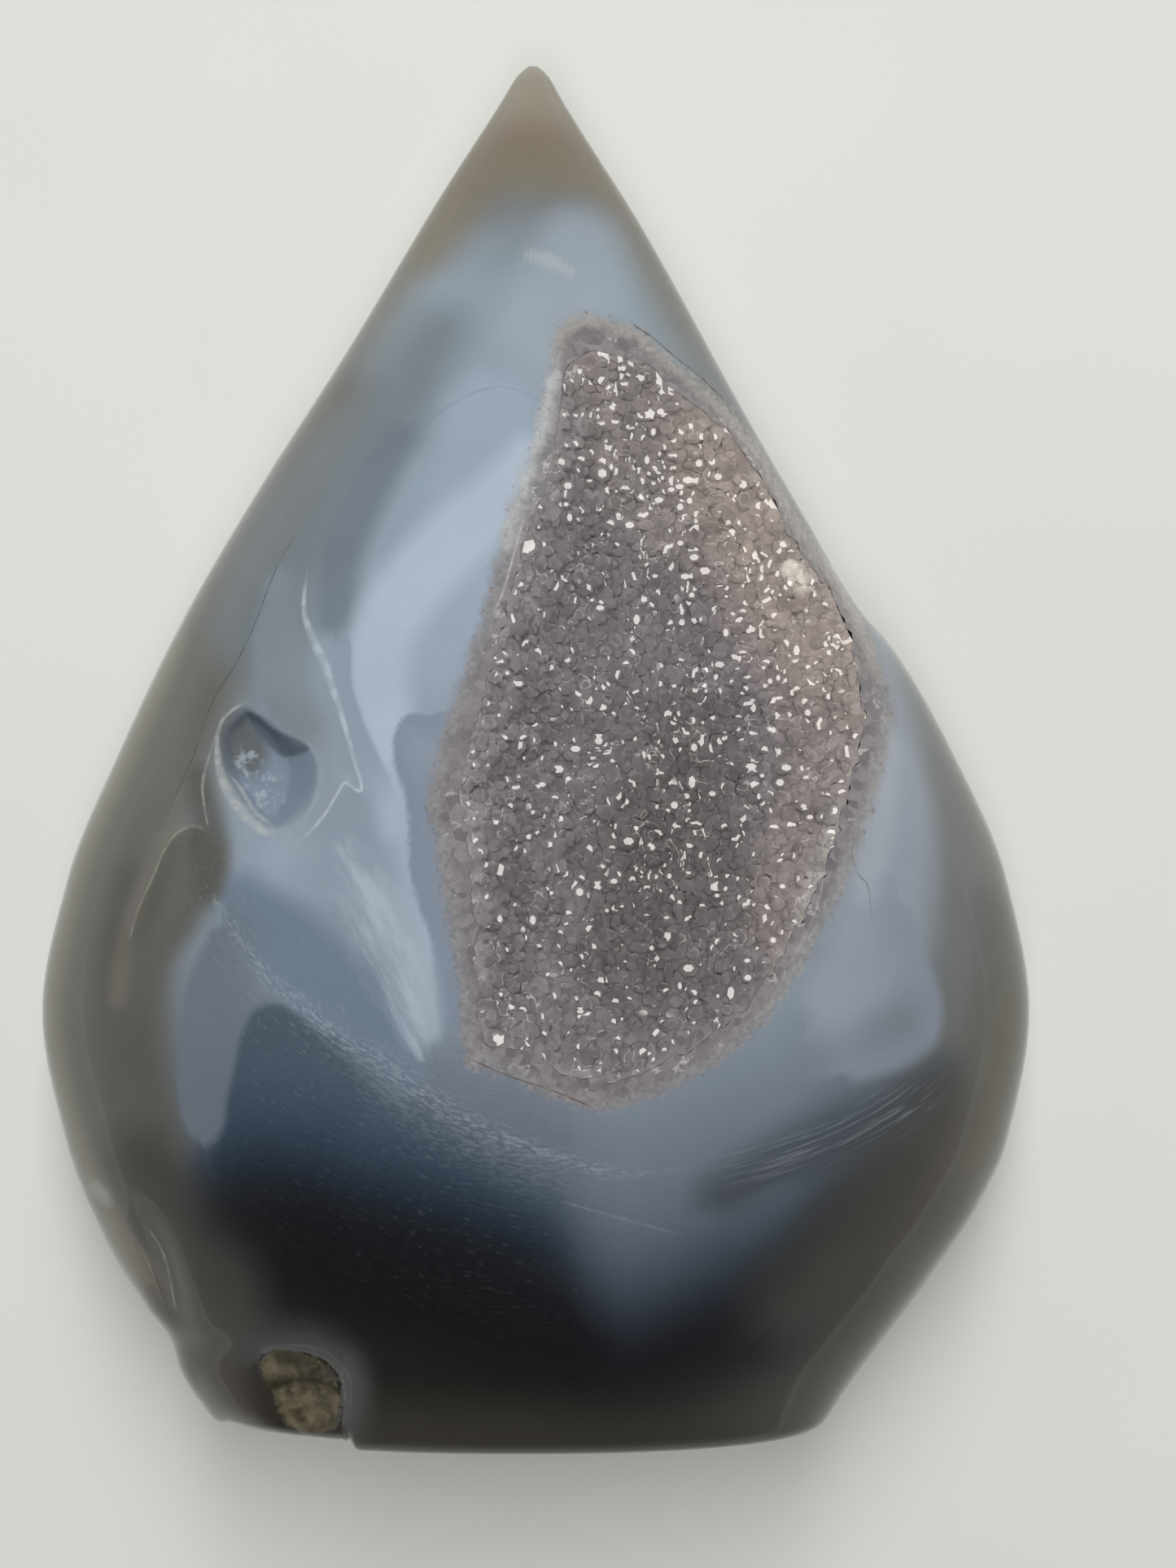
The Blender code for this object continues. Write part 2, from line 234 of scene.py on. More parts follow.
# Creases: path of (x, y, half width of the tinted line), height of the crest, reach left and right of travel
CREASES = {
    "crescent": (((-22.6, 3.3, 0.14), (-23.7, 2.9, 0.12), (-24.9, 1.9, 0.11), (-25.4, 0.5, 0.13),
                  (-25.4, -1.0, 0.22),
                  (-25.1, -2.5, 0.32), (-24.4, -4.1, 0.40), (-23.4, -5.4, 0.44), (-22.2, -6.6, 0.40),
                  (-21.2, -7.2, 0.34), (-20.1, -7.5, 0.16)), 0.32, 0.35, 0.8),
    "inner_crescent": (((-24.5, -2.6, 0.05), (-23.7, -3.6, 0.11), (-22.9, -4.8, 0.14), (-21.9, -6.0, 0.14),
                        (-20.9, -6.6, 0.06)), 0.14, 0.25, 0.35),
    "ridge": (((-18.2, 14.5, 0.08), (-18.4, 10.5, 0.2), (-17.5, 8.0, 0.32), (-16.5, 5.9, 0.32), (-15.8, 3.9, 0.27),
               (-15.0, 1.7, 0.23), (-14.1, -1.2, 0.16), (-13.4, -3.4, 0.13), (-13.6, -4.0, 0.10),
               (-14.7, -3.3, 0.09),
               (-15.3, -4.1, 0.10), (-16.3, -5.7, 0.12), (-17.5, -7.1, 0.12), (-18.5, -7.9, 0.10),
               (-19.3, -8.0, 0.05)), 0.4, 1.4, 0.6),
    "outer_arc": (((-24.8, 2.5, 0.08), (-25.6, 0.4, 0.06), (-26.1, -1.4, 0.10), (-26.5, -3.3, 0.12),
                   (-26.3, -5.0, 0.08), (-25.8, -7.2, 0.06)), 0.12, 0.5, 0.5),
    "low_curve": (((-25.6, -7.6, 0.06), (-26.4, -6.9, 0.12), (-27.4, -6.8, 0.14), (-28.6, -7.4, 0.12),
                   (-29.6, -8.7, 0.10), (-30.6, -11.0, 0.09), (-31.8, -13.6, 0.09), (-32.6, -16.4, 0.08)),
                  0.35, 1.2, 0.7),
    "seam": (((-18.6, 18.0, 0.05), (-20.9, 13.9, 0.06), (-22.6, 9.4, 0.06), (-24.2, 6.0, 0.07), (-25.7, 3.7, 0.07),
              (-26.8, 0.7, 0.06), (-27.6, -1.8, 0.06), (-29.3, -5.4, 0.06), (-30.9, -8.3, 0.05)),
             -0.06, 0.25, 0.25),
    "side_fold": (((-31.4, -39.2, 0.07), (-30.0, -41.8, 0.11), (-29.3, -46.6, 0.07)), 0.2, 0.5, 0.7),
    "side_fold_out": (((-33.0, -39.4, 0.05), (-31.6, -42.4, 0.09), (-30.4, -46.4, 0.05)), 0.15, 0.5, 0.6),
    "lip_left": (((-0.6, 18.2, 0.03), (-0.8, 17.5, 0.06), (-1.6, 14.5, 0.08), (-2.4, 11.6, 0.08),
                  (-3.3, 9.9, 0.03)),
                 0.02, 0.2, 0.2),
    "lip_right": (((23.0, -10.6, 0.05), (22.5, -12.8, 0.08), (21.6, -15.0, 0.07), (20.5, -17.2, 0.05)),
                  0.02, 0.2, 0.2),
    "bow": (((-9.4, 25.0, 0.05), (-6.3, 27.4, 0.07), (-2.9, 28.6, 0.09), (-0.4, 27.9, 0.09), (1.5, 26.4, 0.08),
             (2.2, 25.4, 0.06)), 0.06, 0.8, 0.8),
    "pit_lip": (((-18.4, 0.1, 0.1), (-17.4, -0.9, 0.22), (-16.9, -2.3, 0.25), (-17.0, -3.8, 0.25),
                 (-17.5, -5.2, 0.2),
                 (-18.3, -6.3, 0.1)), 0.05, 0.5, 0.5),
    "fissure": (((-15.5, -50.0, 0.06), (-15.2, -52.8, 0.09), (-15.4, -55.5, 0.09), (-15.0, -57.5, 0.08)),
                -0.2, 0.2, 0.2),
    "rind_split": (((-22.1, -53.1, 0.10), (-20.4, -52.2, 0.16), (-18.6, -51.9, 0.12), (-16.7, -52.1, 0.16),
                    (-15.6, -52.6, 0.08)), -0.25, 0.3, 0.3),
    "scratch": (((2.1, -36.0, 0.08), (7.1, -37.5, 0.1), (11.8, -38.9, 0.08)), -0.03, 0.2, 0.2),
    "right_flaw": (((25.6, -6.6, 0.05), (25.3, -9.0, 0.05), (25.8, -10.6, 0.05), (26.6, -11.6, 0.05),
                    (26.9, -14.6, 0.04)), -0.04, 0.15, 0.15),
    "crack_high": (((7.7, 34.3, 0.08), (9.5, 33.2, 0.10), (11.6, 31.5, 0.05), (13.6, 30.1, 0.07),
                    (15.8, 28.1, 0.08)),
                   -0.05, 0.15, 0.15),
    "crack_low": (((-5.2, -24.6, 0.07), (-2.1, -26.0, 0.05), (1.7, -27.3, 0.04), (5.0, -28.7, 0.08)),
                  -0.05, 0.15, 0.15),
}
PIT_STEP = 0.9
PIT_WALL = 0.9


def dent_depth(x, y):
    """Depth of all the dents together: each is depth times exp(-(oval distance^2)^1.4)."""
    total = np.zeros(np.shape(x))
    for middle_x, middle_y, wide, long, tilt, depth in DENTS:
        turn = math.radians(tilt)
        across = ((x - middle_x) * math.cos(turn) + (y - middle_y) * math.sin(turn)) / wide
        along = ((y - middle_y) * math.cos(turn) - (x - middle_x) * math.sin(turn)) / long
        total += depth * np.exp(-((across**2 + along**2) ** DENT_SHARPNESS))
    return total


def crease_height(x, y):
    """Height of all creases together: each is its crest times exp(-distance / reach), tapered at its ends."""
    total = np.zeros(np.shape(x))
    for path, crest, left_reach, right_reach in CREASES.values():
        offset, along, _ = from_path(x, y, path)
        reach = np.where(offset > 0, right_reach, left_reach)
        ends = smooth(0, 0.12, along) * smooth(1, 0.88, along)
        total += crest * np.exp(-np.abs(offset) / reach) * ends
    return total


def pit_drop(x, y):
    """The pit's crisp wall: a step down inside its outline, sharp on the left and easy on the right."""
    ease = PIT_WALL + 3.0 * smooth(-22, -18, x)
    return PIT_STEP * smooth(0, ease, inside_of(x, y, PIT))


def front_z(x, y, marks=True):
    """The polished front: the dome, less the dents, with the pit's wall and the creases where marks are on."""
    depth = surface_depth(x, y, FRONT_DEPTH)
    less = dent_depth(x, y)
    if marks:
        less = less + pit_drop(x, y) - crease_height(x, y)
    return WAIST + depth - less * np.clip(depth / THIN, 0, 1)


def back_z(x, y):
    """The domed back, ground flat where it would reach below the ground."""
    return np.maximum(WAIST - surface_depth(x, y, BACK_DEPTH), 0.0)


print(len(DENTS), "dents and", len(CREASES), "creases")

# %% [markdown]
# ## The grid of the stone
# The body is one grid. Its columns fan out from the middle of the hollow to the outline, and its rings run round:
# from the hollow's floor up its wall to the lip, over the front to the outline, and in over the back. A sphere
# mesh pushed into shape would also do, but then no ring would follow the lip, and the edge of the hollow would
# come out in steps. Columns stand closer together on the left, where the pit and the creases need small faces.

# %% The hollow's edge, and the columns
QUARTZ_EDGE = (
    (2.2, 34.1), (7.9, 34.2), (11.3, 31.4), (15.6, 28.2), (19.1, 23.9), (22.1, 18.4), (25.2, 14.4),
    (27.0, 11.0), (28.5, 5.8), (29.2, 2.0), (27.7, -3.7), (25.1, -10.9), (22.8, -15.4), (18.2, -22.3),
    (12.5, -26.6), (5.2, -29.0), (-2.1, -26.2), (-5.3, -24.7), (-5.9, -18.4), (-7.5, -9.5), (-8.2, -4.0),
    (-6.3, 3.2), (-4.0, 10.5), (-2.3, 17.5), (0.0, 25.0),
)
HOLLOW_CENTRE = np.array([10.4, -0.5])
# Width of the flush band of cut quartz between its edge and the lip, by heading in degrees
BAND = (
    (-180, 2.2), (-155, 2.5), (-130, 2.0), (-110, 1.9), (-95, 2.2), (-65, 2.0), (-35, 1.9), (-10, 2.1), (10, 2.3),
    (35, 1.6), (65, 1.6), (85, 2.1), (98, 3.0), (110, 3.3), (122, 2.4), (145, 1.8), (180, 2.2),
)
LEAST_WALL = 1.6
RAGGED = 0.7  # how far crystals break into the lip
RIPPLES = ((31, 0.4), (53, 2.1), (83, 4.0))  # waves round the hollow, and phase of each
COLUMNS = 520
# Where columns crowd: (x, y) on the outline, reach, and how many times closer they stand
CROWDED = ((-37.0, -4.0, 16.0, 1.1), (-15.0, -57.5, 2.5, 2.5), (-30.0, -48.0, 8.0, 0.6))
POINT_TRIM = 0.16  # the CAD solid's point is this much blunter than the curve


def silhouette(count):
    """Points round the outline, from the middle of the foot to the left, up, and down again."""
    rise = -FOOT * np.cos(np.linspace(0, math.pi, 4000))
    middle, half = half_width(rise)
    left = np.column_stack([middle - half, rise])
    right = np.column_stack([middle + half, rise])[::-1]
    start = np.array([[(left[0, 0] + right[-1, 0]) / 2, -FOOT]])
    foot_left = np.linspace(start[0], left[0], 200)
    foot_right = np.linspace(right[-1], start[0], 200)
    loop = np.vstack([foot_left, left, right, foot_right])
    crowd = np.ones(len(loop))
    for x, y, reach, more in CROWDED:
        crowd += more * np.exp(-((loop[:, 0] - x) ** 2 + (loop[:, 1] - y) ** 2) / reach**2)
    step = np.linalg.norm(np.diff(loop, axis=0), axis=1) * (crowd[1:] + crowd[:-1]) / 2
    length = np.concatenate([[0], np.cumsum(step)])
    even = np.linspace(0, length[-1], count, endpoint=False)
    return np.column_stack([np.interp(even, length, loop[:, 0]), np.interp(even, length, loop[:, 1])])


def edge_radius(curve, heading):
    """Distance of a closed curve from the centre of the hollow in each direction."""
    away = curve - HOLLOW_CENTRE
    angle = np.arctan2(away[:, 1], away[:, 0])
    order = np.argsort(angle)
    return np.interp(heading, angle[order], np.linalg.norm(away, axis=1)[order], period=2 * math.pi)


def ripple(degrees):
    """Uneven waves from -1 to 1 round the hollow, where crystals break its edge: the mean of sines."""
    return sum(np.sin(np.radians(degrees * times) + phase) for times, phase in RIPPLES) / len(RIPPLES)


outline = silhouette(COLUMNS)
spokes = outline - HOLLOW_CENTRE
reach = np.linalg.norm(spokes, axis=1)
direction = spokes / reach[:, None]
headings = np.arctan2(spokes[:, 1], spokes[:, 0])
quartz_curve = spline(QUARTZ_EDGE, closed=True, per_piece=24)
lip = edge_radius(quartz_curve, headings) - curve_through(BAND, np.degrees(headings))
lip = np.minimum(lip, reach - LEAST_WALL)
lip = lip - RAGGED * (0.5 + 0.5 * ripple(np.degrees(headings)))
print("lip of the hollow:", lip.min().round(1), "to", lip.max().round(1), "mm from its middle")

# %% Depth of the hollow
HOLLOW_DEPTH = 7.5
DEEPEST = (8.7, -12.0)
DIP_DEPTH = 2.5
DIP_RADIUS = 9.0
CRUST_THICKNESS = 2.4
GAP = 0.3
WALL_STEEPNESS = 2.6


def bed_depth(x, y, share):
    """Depth of the crystals' bed under the polish, where share is 1 at the lip and 0 in the middle:
    (1 - share^2.6) times a flat depth with a round dip in it."""
    away = ((x - DEEPEST[0]) ** 2 + (y - DEEPEST[1]) ** 2) / DIP_RADIUS**2
    return (1 - np.clip(share, 0, 1) ** WALL_STEEPNESS) * (HOLLOW_DEPTH + DIP_DEPTH * np.exp(-away))


# %% Rings of the stone
FLOOR_RINGS = 4
FRONT_RINGS = 130
FOOT_RINGS = 6
BACK_RINGS = 28
FLAT_RINGS = 3
RIM_CROWDING = 1.4
FLAT_CENTRE = np.array([0.0, -19.0])


def ring(radius):
    """(x, y) of a ring, one point on each column, at these radii from the centre of the hollow."""
    flat = HOLLOW_CENTRE + direction * radius[:, None]
    return flat[:, 0], np.maximum(flat[:, 1], -FOOT)


def ground_edge():
    """For each column, where the flat of the back begins on the way in from the outline, by halving."""
    near, far = np.zeros(COLUMNS), np.ones(COLUMNS)
    for _ in range(30):
        share = (near + far) / 2
        at = FLAT_CENTRE + (outline - FLAT_CENTRE) * share[:, None]
        on_flat = surface_depth(at[:, 0], at[:, 1], BACK_DEPTH) > WAIST
        near, far = np.where(on_flat, share, near), np.where(on_flat, far, share)
    return FLAT_CENTRE + (outline - FLAT_CENTRE) * near[:, None]


def stone_rings():
    """All rings from the middle of the floor to the middle of the flat back, as (rings, columns, 3)."""
    rows = []
    for share in np.linspace(0, 1, FLOOR_RINGS + 1)[1:]:
        x, y = ring(lip * share)
        rows.append((x, y, front_z(x, y, marks=False) - bed_depth(x, y, share) - CRUST_THICKNESS - GAP))
    for share in 1 - (1 - np.linspace(0, 1, FRONT_RINGS)) ** RIM_CROWDING:
        x, y = ring(lip + (reach - lip) * share)
        rows.append((x, y, front_z(x, y)))
    edge_x, edge_y, top = rows[-1]
    bottom = back_z(edge_x, edge_y)
    for share in np.linspace(0, 1, FOOT_RINGS + 1)[1:-1]:
        rows.append((edge_x, edge_y, top + (bottom - top) * share))
    edge = np.column_stack([edge_x, edge_y])
    inner = ground_edge()
    for share in 1 - np.cos(np.linspace(0, math.pi / 2, BACK_RINGS)):
        x, y = (edge + (inner - edge) * share).T
        rows.append((x, y, back_z(x, y)))
    for share in np.linspace(1, 0, FLAT_RINGS + 1)[1:-1]:
        x, y = (FLAT_CENTRE + (inner - FLAT_CENTRE) * share).T
        rows.append((x, y, np.zeros(COLUMNS)))
    return np.array(rows).transpose(0, 2, 1)


rings = stone_rings()
print("stone grid:", rings.shape[0], "rings of", rings.shape[1])


# %% [markdown]
# ## From a grid to a closed mesh
# Along the foot, the front's last ring and the back's first one stand apart, and the flat cut lies between them.
# Everywhere else they meet in the outline. Merging by distance would weld those, and with them some small faces
# of the creases. So the rings share their vertex numbers there instead, and a face that has lost two corners
# that way is left out.

# %% Faces between numbered rings
def faces_between(numbers):
    """Quads between each ring of vertex numbers and the next, as a list: a repeated corner makes a triangle."""
    after = np.roll(numbers, -1, axis=1)
    quads = np.stack([numbers[:-1], after[:-1], after[1:], numbers[1:]], axis=-1).reshape(-1, 4)
    apart = quads != np.roll(quads, -1, axis=1)
    whole = quads[apart.all(axis=1)]
    cut = quads[(~apart).sum(axis=1) == 1]
    keep = cut != np.roll(cut, -1, axis=1)
    return whole.tolist() + cut[keep].reshape(-1, 3).tolist()


def fan(numbers, pole, inward=False):
    """Triangles from a ring of vertex numbers to one pole."""
    after = np.roll(numbers, -1)
    pair = (after, numbers) if inward else (numbers, after)
    return np.column_stack([*pair, np.full(len(numbers), pole)]).tolist()


def make_mesh(name, points, faces, sharp_above=None):
    """A mesh from points in millimetres. Edges sharper than the given angle in degrees stay crisp."""
    mesh = bpy.data.meshes.new(name)
    mesh.from_pydata((points * MM).tolist(), [], faces)
    mesh.polygons.foreach_set("use_smooth", np.full(len(mesh.polygons), sharp_above is not None))
    if sharp_above is not None:
        mesh.set_sharp_from_angle(angle=math.radians(sharp_above))
    mesh.update()
    return mesh


def give(mesh, name, values, kind="FLOAT_VECTOR", domain="POINT"):
    """Stores an array as an attribute that a material can read."""
    field = {"FLOAT": "value", "FLOAT_VECTOR": "vector", "FLOAT_COLOR": "color"}[kind]
    flat = np.ascontiguousarray(values, np.float32).ravel()
    mesh.attributes.new(name, kind, domain).data.foreach_set(field, flat)


# %% [markdown]
# ## The broken foot
# Left of a short crack the cut foot is chipped back by less than a millimetre, and the pocket above it shows
# rough brown rind, which is the outside of the agate. The chip moves the foot's vertices in along Y, and the
# rind is lumps from a sum of sine waves, which is smooth noise that needs no table.

# %% Chip and rind
CHIP = 0.75
CHIP_FROM, CHIP_TO = -26.0, -15.1
NOTCH = (-15.0, 0.35, 0.9)  # x, half width and depth of the crack in the foot
POCKET = (
    (-22.2, -50.2), (-20.3, -49.0), (-17.6, -49.5), (-16.0, -50.8), (-15.7, -53.6), (-16.5, -55.9),
    (-19.6, -56.1), (-21.4, -53.5),
)
POCKET_STEP = 0.7
LUMP = 0.35


def lumps(x, y, size, seed):
    """Smooth noise from -1 to 1: the mean of eight sine waves in directions and phases drawn from the seed."""
    draw = np.random.default_rng(seed)
    total = np.zeros(np.shape(x))
    for _ in range(8):
        turn, phase, finer = draw.uniform(0, 2 * math.pi), draw.uniform(0, 2 * math.pi), draw.uniform(0.7, 1.6)
        total += np.sin((x * math.cos(turn) + y * math.sin(turn)) * finer * 2 * math.pi / size + phase)
    return total / 4


def chip_foot(points):
    """Draws the foot in by the chip, more in the crack, fading out over 3 mm, and drops the rind's pocket."""
    x, y, z = points.T.copy()
    near_foot = smooth(-FOOT + 3.0, -FOOT, y)
    chipped = smooth(CHIP_FROM - 1, CHIP_FROM + 1, x) * smooth(CHIP_TO, CHIP_TO - 0.5, x)
    crack = np.exp(-(((x - NOTCH[0]) / NOTCH[1]) ** 2)) * smooth(8, 20, z)
    rough = smooth(-0.2, 0.6, inside_of(x, y, POCKET)) * smooth(WAIST + 4, WAIST + 8, z)
    z = z - rough * (POCKET_STEP - LUMP * lumps(x, y, 2.6, 3) - LUMP * lumps(x, y, 1.2, 4) / 2)
    y = y + near_foot * (CHIP * chipped + NOTCH[2] * crack)
    y = np.where(y > FOOT - 6, y - POINT_TRIM * smooth(FOOT - 6, FOOT, y), y)
    return np.clip(np.column_stack([x, y, z]), stone_low, stone_high)


# %% Numbered vertices of the stone
def stone_mesh():
    """(points, faces) of the closed stone."""
    count = rings.shape[0]
    numbers = np.arange(count * COLUMNS).reshape(count, COLUMNS)
    rim = FLOOR_RINGS + FRONT_RINGS - 1
    meets = np.abs(rings[rim, :, 2] - rings[rim + FOOT_RINGS, :, 2]) < 1e-3
    numbers[rim + 1:rim + FOOT_RINGS + 1, meets] = numbers[rim, meets]
    bed_middle = front_z(*HOLLOW_CENTRE[:, None], marks=False)[0] - bed_depth(*HOLLOW_CENTRE, 0.0)
    poles = [[*HOLLOW_CENTRE, bed_middle - CRUST_THICKNESS - GAP], [*FLAT_CENTRE, 0.0]]
    points = np.vstack([rings.reshape(-1, 3), poles])
    faces = faces_between(numbers)
    faces += fan(numbers[0], count * COLUMNS, inward=True) + fan(numbers[-1], count * COLUMNS + 1)
    used = np.unique(np.concatenate([numbers.ravel(), [count * COLUMNS, count * COLUMNS + 1]]))
    renumber = np.zeros(len(points), int)
    renumber[used] = np.arange(len(used))
    return chip_foot(points[used]), [[int(renumber[i]) for i in face] for face in faces]


stone_points, stone_faces = stone_mesh()
agate = make_mesh("polished_stone", stone_points, stone_faces, sharp_above=38)
print("stone:", len(stone_points), "points")
print("from", stone_points.min(0).round(2), "to", stone_points.max(0).round(2), "mm")

# %% [markdown]
# ## Colours of the agate
# Agate is clear to milky quartz in layers. Where it is thick and fine-grained it scatters blue light, thin edges
# look olive and smoky, and the foot is nearly black. Much of the layout is also painted reflection: the polish
# mirrors a bright window beyond the point and dark surroundings below the foot, and the light blue bands and
# lobes, the pale left rim, the lighter upper half, the darker foot and the dark shape paint those reflections into
# the colour together with the agate's own layers; a dark wedge in the pit is painted shade. The tones have soft
# borders and follow no simple noise, so they are laid on as a painter would: a ground that depends on the place
# along the stone and on how near the outline is, and over it broad strokes, each with a width, a softness and a
# colour.
# Colours are given as they look on screen from 0 to 255, and are turned to linear light at the end.

# %% Ground tones along the stone
# Where the dark of the foot begins, as (x, y), and the tones by the height over that line. They are the agate's
# layers together with painted reflection: dark low down, where the polish mirrors the dark surroundings below
# the foot, and light blue higher up, where it mirrors the window beyond the point.
TIDE = (
    (-40, -39.5), (-30, -37.5), (-25, -34.5), (-21, -33.7), (-17.2, -34.0), (-13.4, -35.2), (-9.7, -36.1),
    (-5.9, -37.1), (-2.2, -38.4), (1.8, -40.0), (5, -43.5), (7.5, -45.0), (13, -43.0), (18.7, -40.5), (24, -36.5),
    (29.6, -33.3), (36, -31),
)
LOW_HEART = (
    (-24, (46, 43, 38)), (-14, (34, 33, 31)), (-9, (26, 27, 28)), (-5, (28, 29, 32)), (-2.5, (38, 41, 47)),
    (0, (55, 62, 71)), (3, (78, 88, 99)), (6, (97, 107, 118)), (9, (109, 118, 129)), (14, (121, 131, 143)),
    (22, (138, 150, 163)), (34, (146, 158, 171)),
)
HIGH_HEART = (
    (-10, (142, 154, 167)), (0, (146, 158, 171)), (20, (146, 160, 173)), (36, (144, 157, 168)),
    (41, (134, 144, 151)), (45, (121, 123, 122)), (49, (130, 121, 109)), (54, (146, 139, 124)),
    (57.5, (150, 145, 132)),
)
EDGE = (
    (-57.5, (56, 53, 46)), (-50, (72, 68, 60)), (-40, (88, 84, 75)), (-28, (98, 96, 88)), (-12, (106, 106, 100)),
    (5, (110, 113, 111)), (25, (116, 122, 124)), (40, (118, 116, 108)), (48, (128, 119, 106)),
    (57.5, (150, 145, 132)),
)
EDGE_FROM, EDGE_FULL = 0.55, 0.98

# The right border of the light band, from the top of the grey-blue finger beside the quartz downwards: there the
# painted reflection of the window ends
BAND_BORDER = (
    (-7.2, 2.1, 0.0), (-8.1, 1.8, 0.0), (-9.2, 2.0, 0.0), (-10.1, 1.6, 0.0), (-10.7, 0.3, 0.0), (-10.7, -0.9, 0.0),
    (-10.5, -2.3, 0.0), (-9.9, -3.8, 0.0), (-9.5, -6.0, 0.0), (-9.4, -9.6, 0.0), (-9.2, -11.2, 0.0),
    (-8.4, -13.5, 0.0), (-7.7, -15.4, 0.0), (-7.5, -17.4, 0.0), (-7.3, -21.0, 0.0),
)
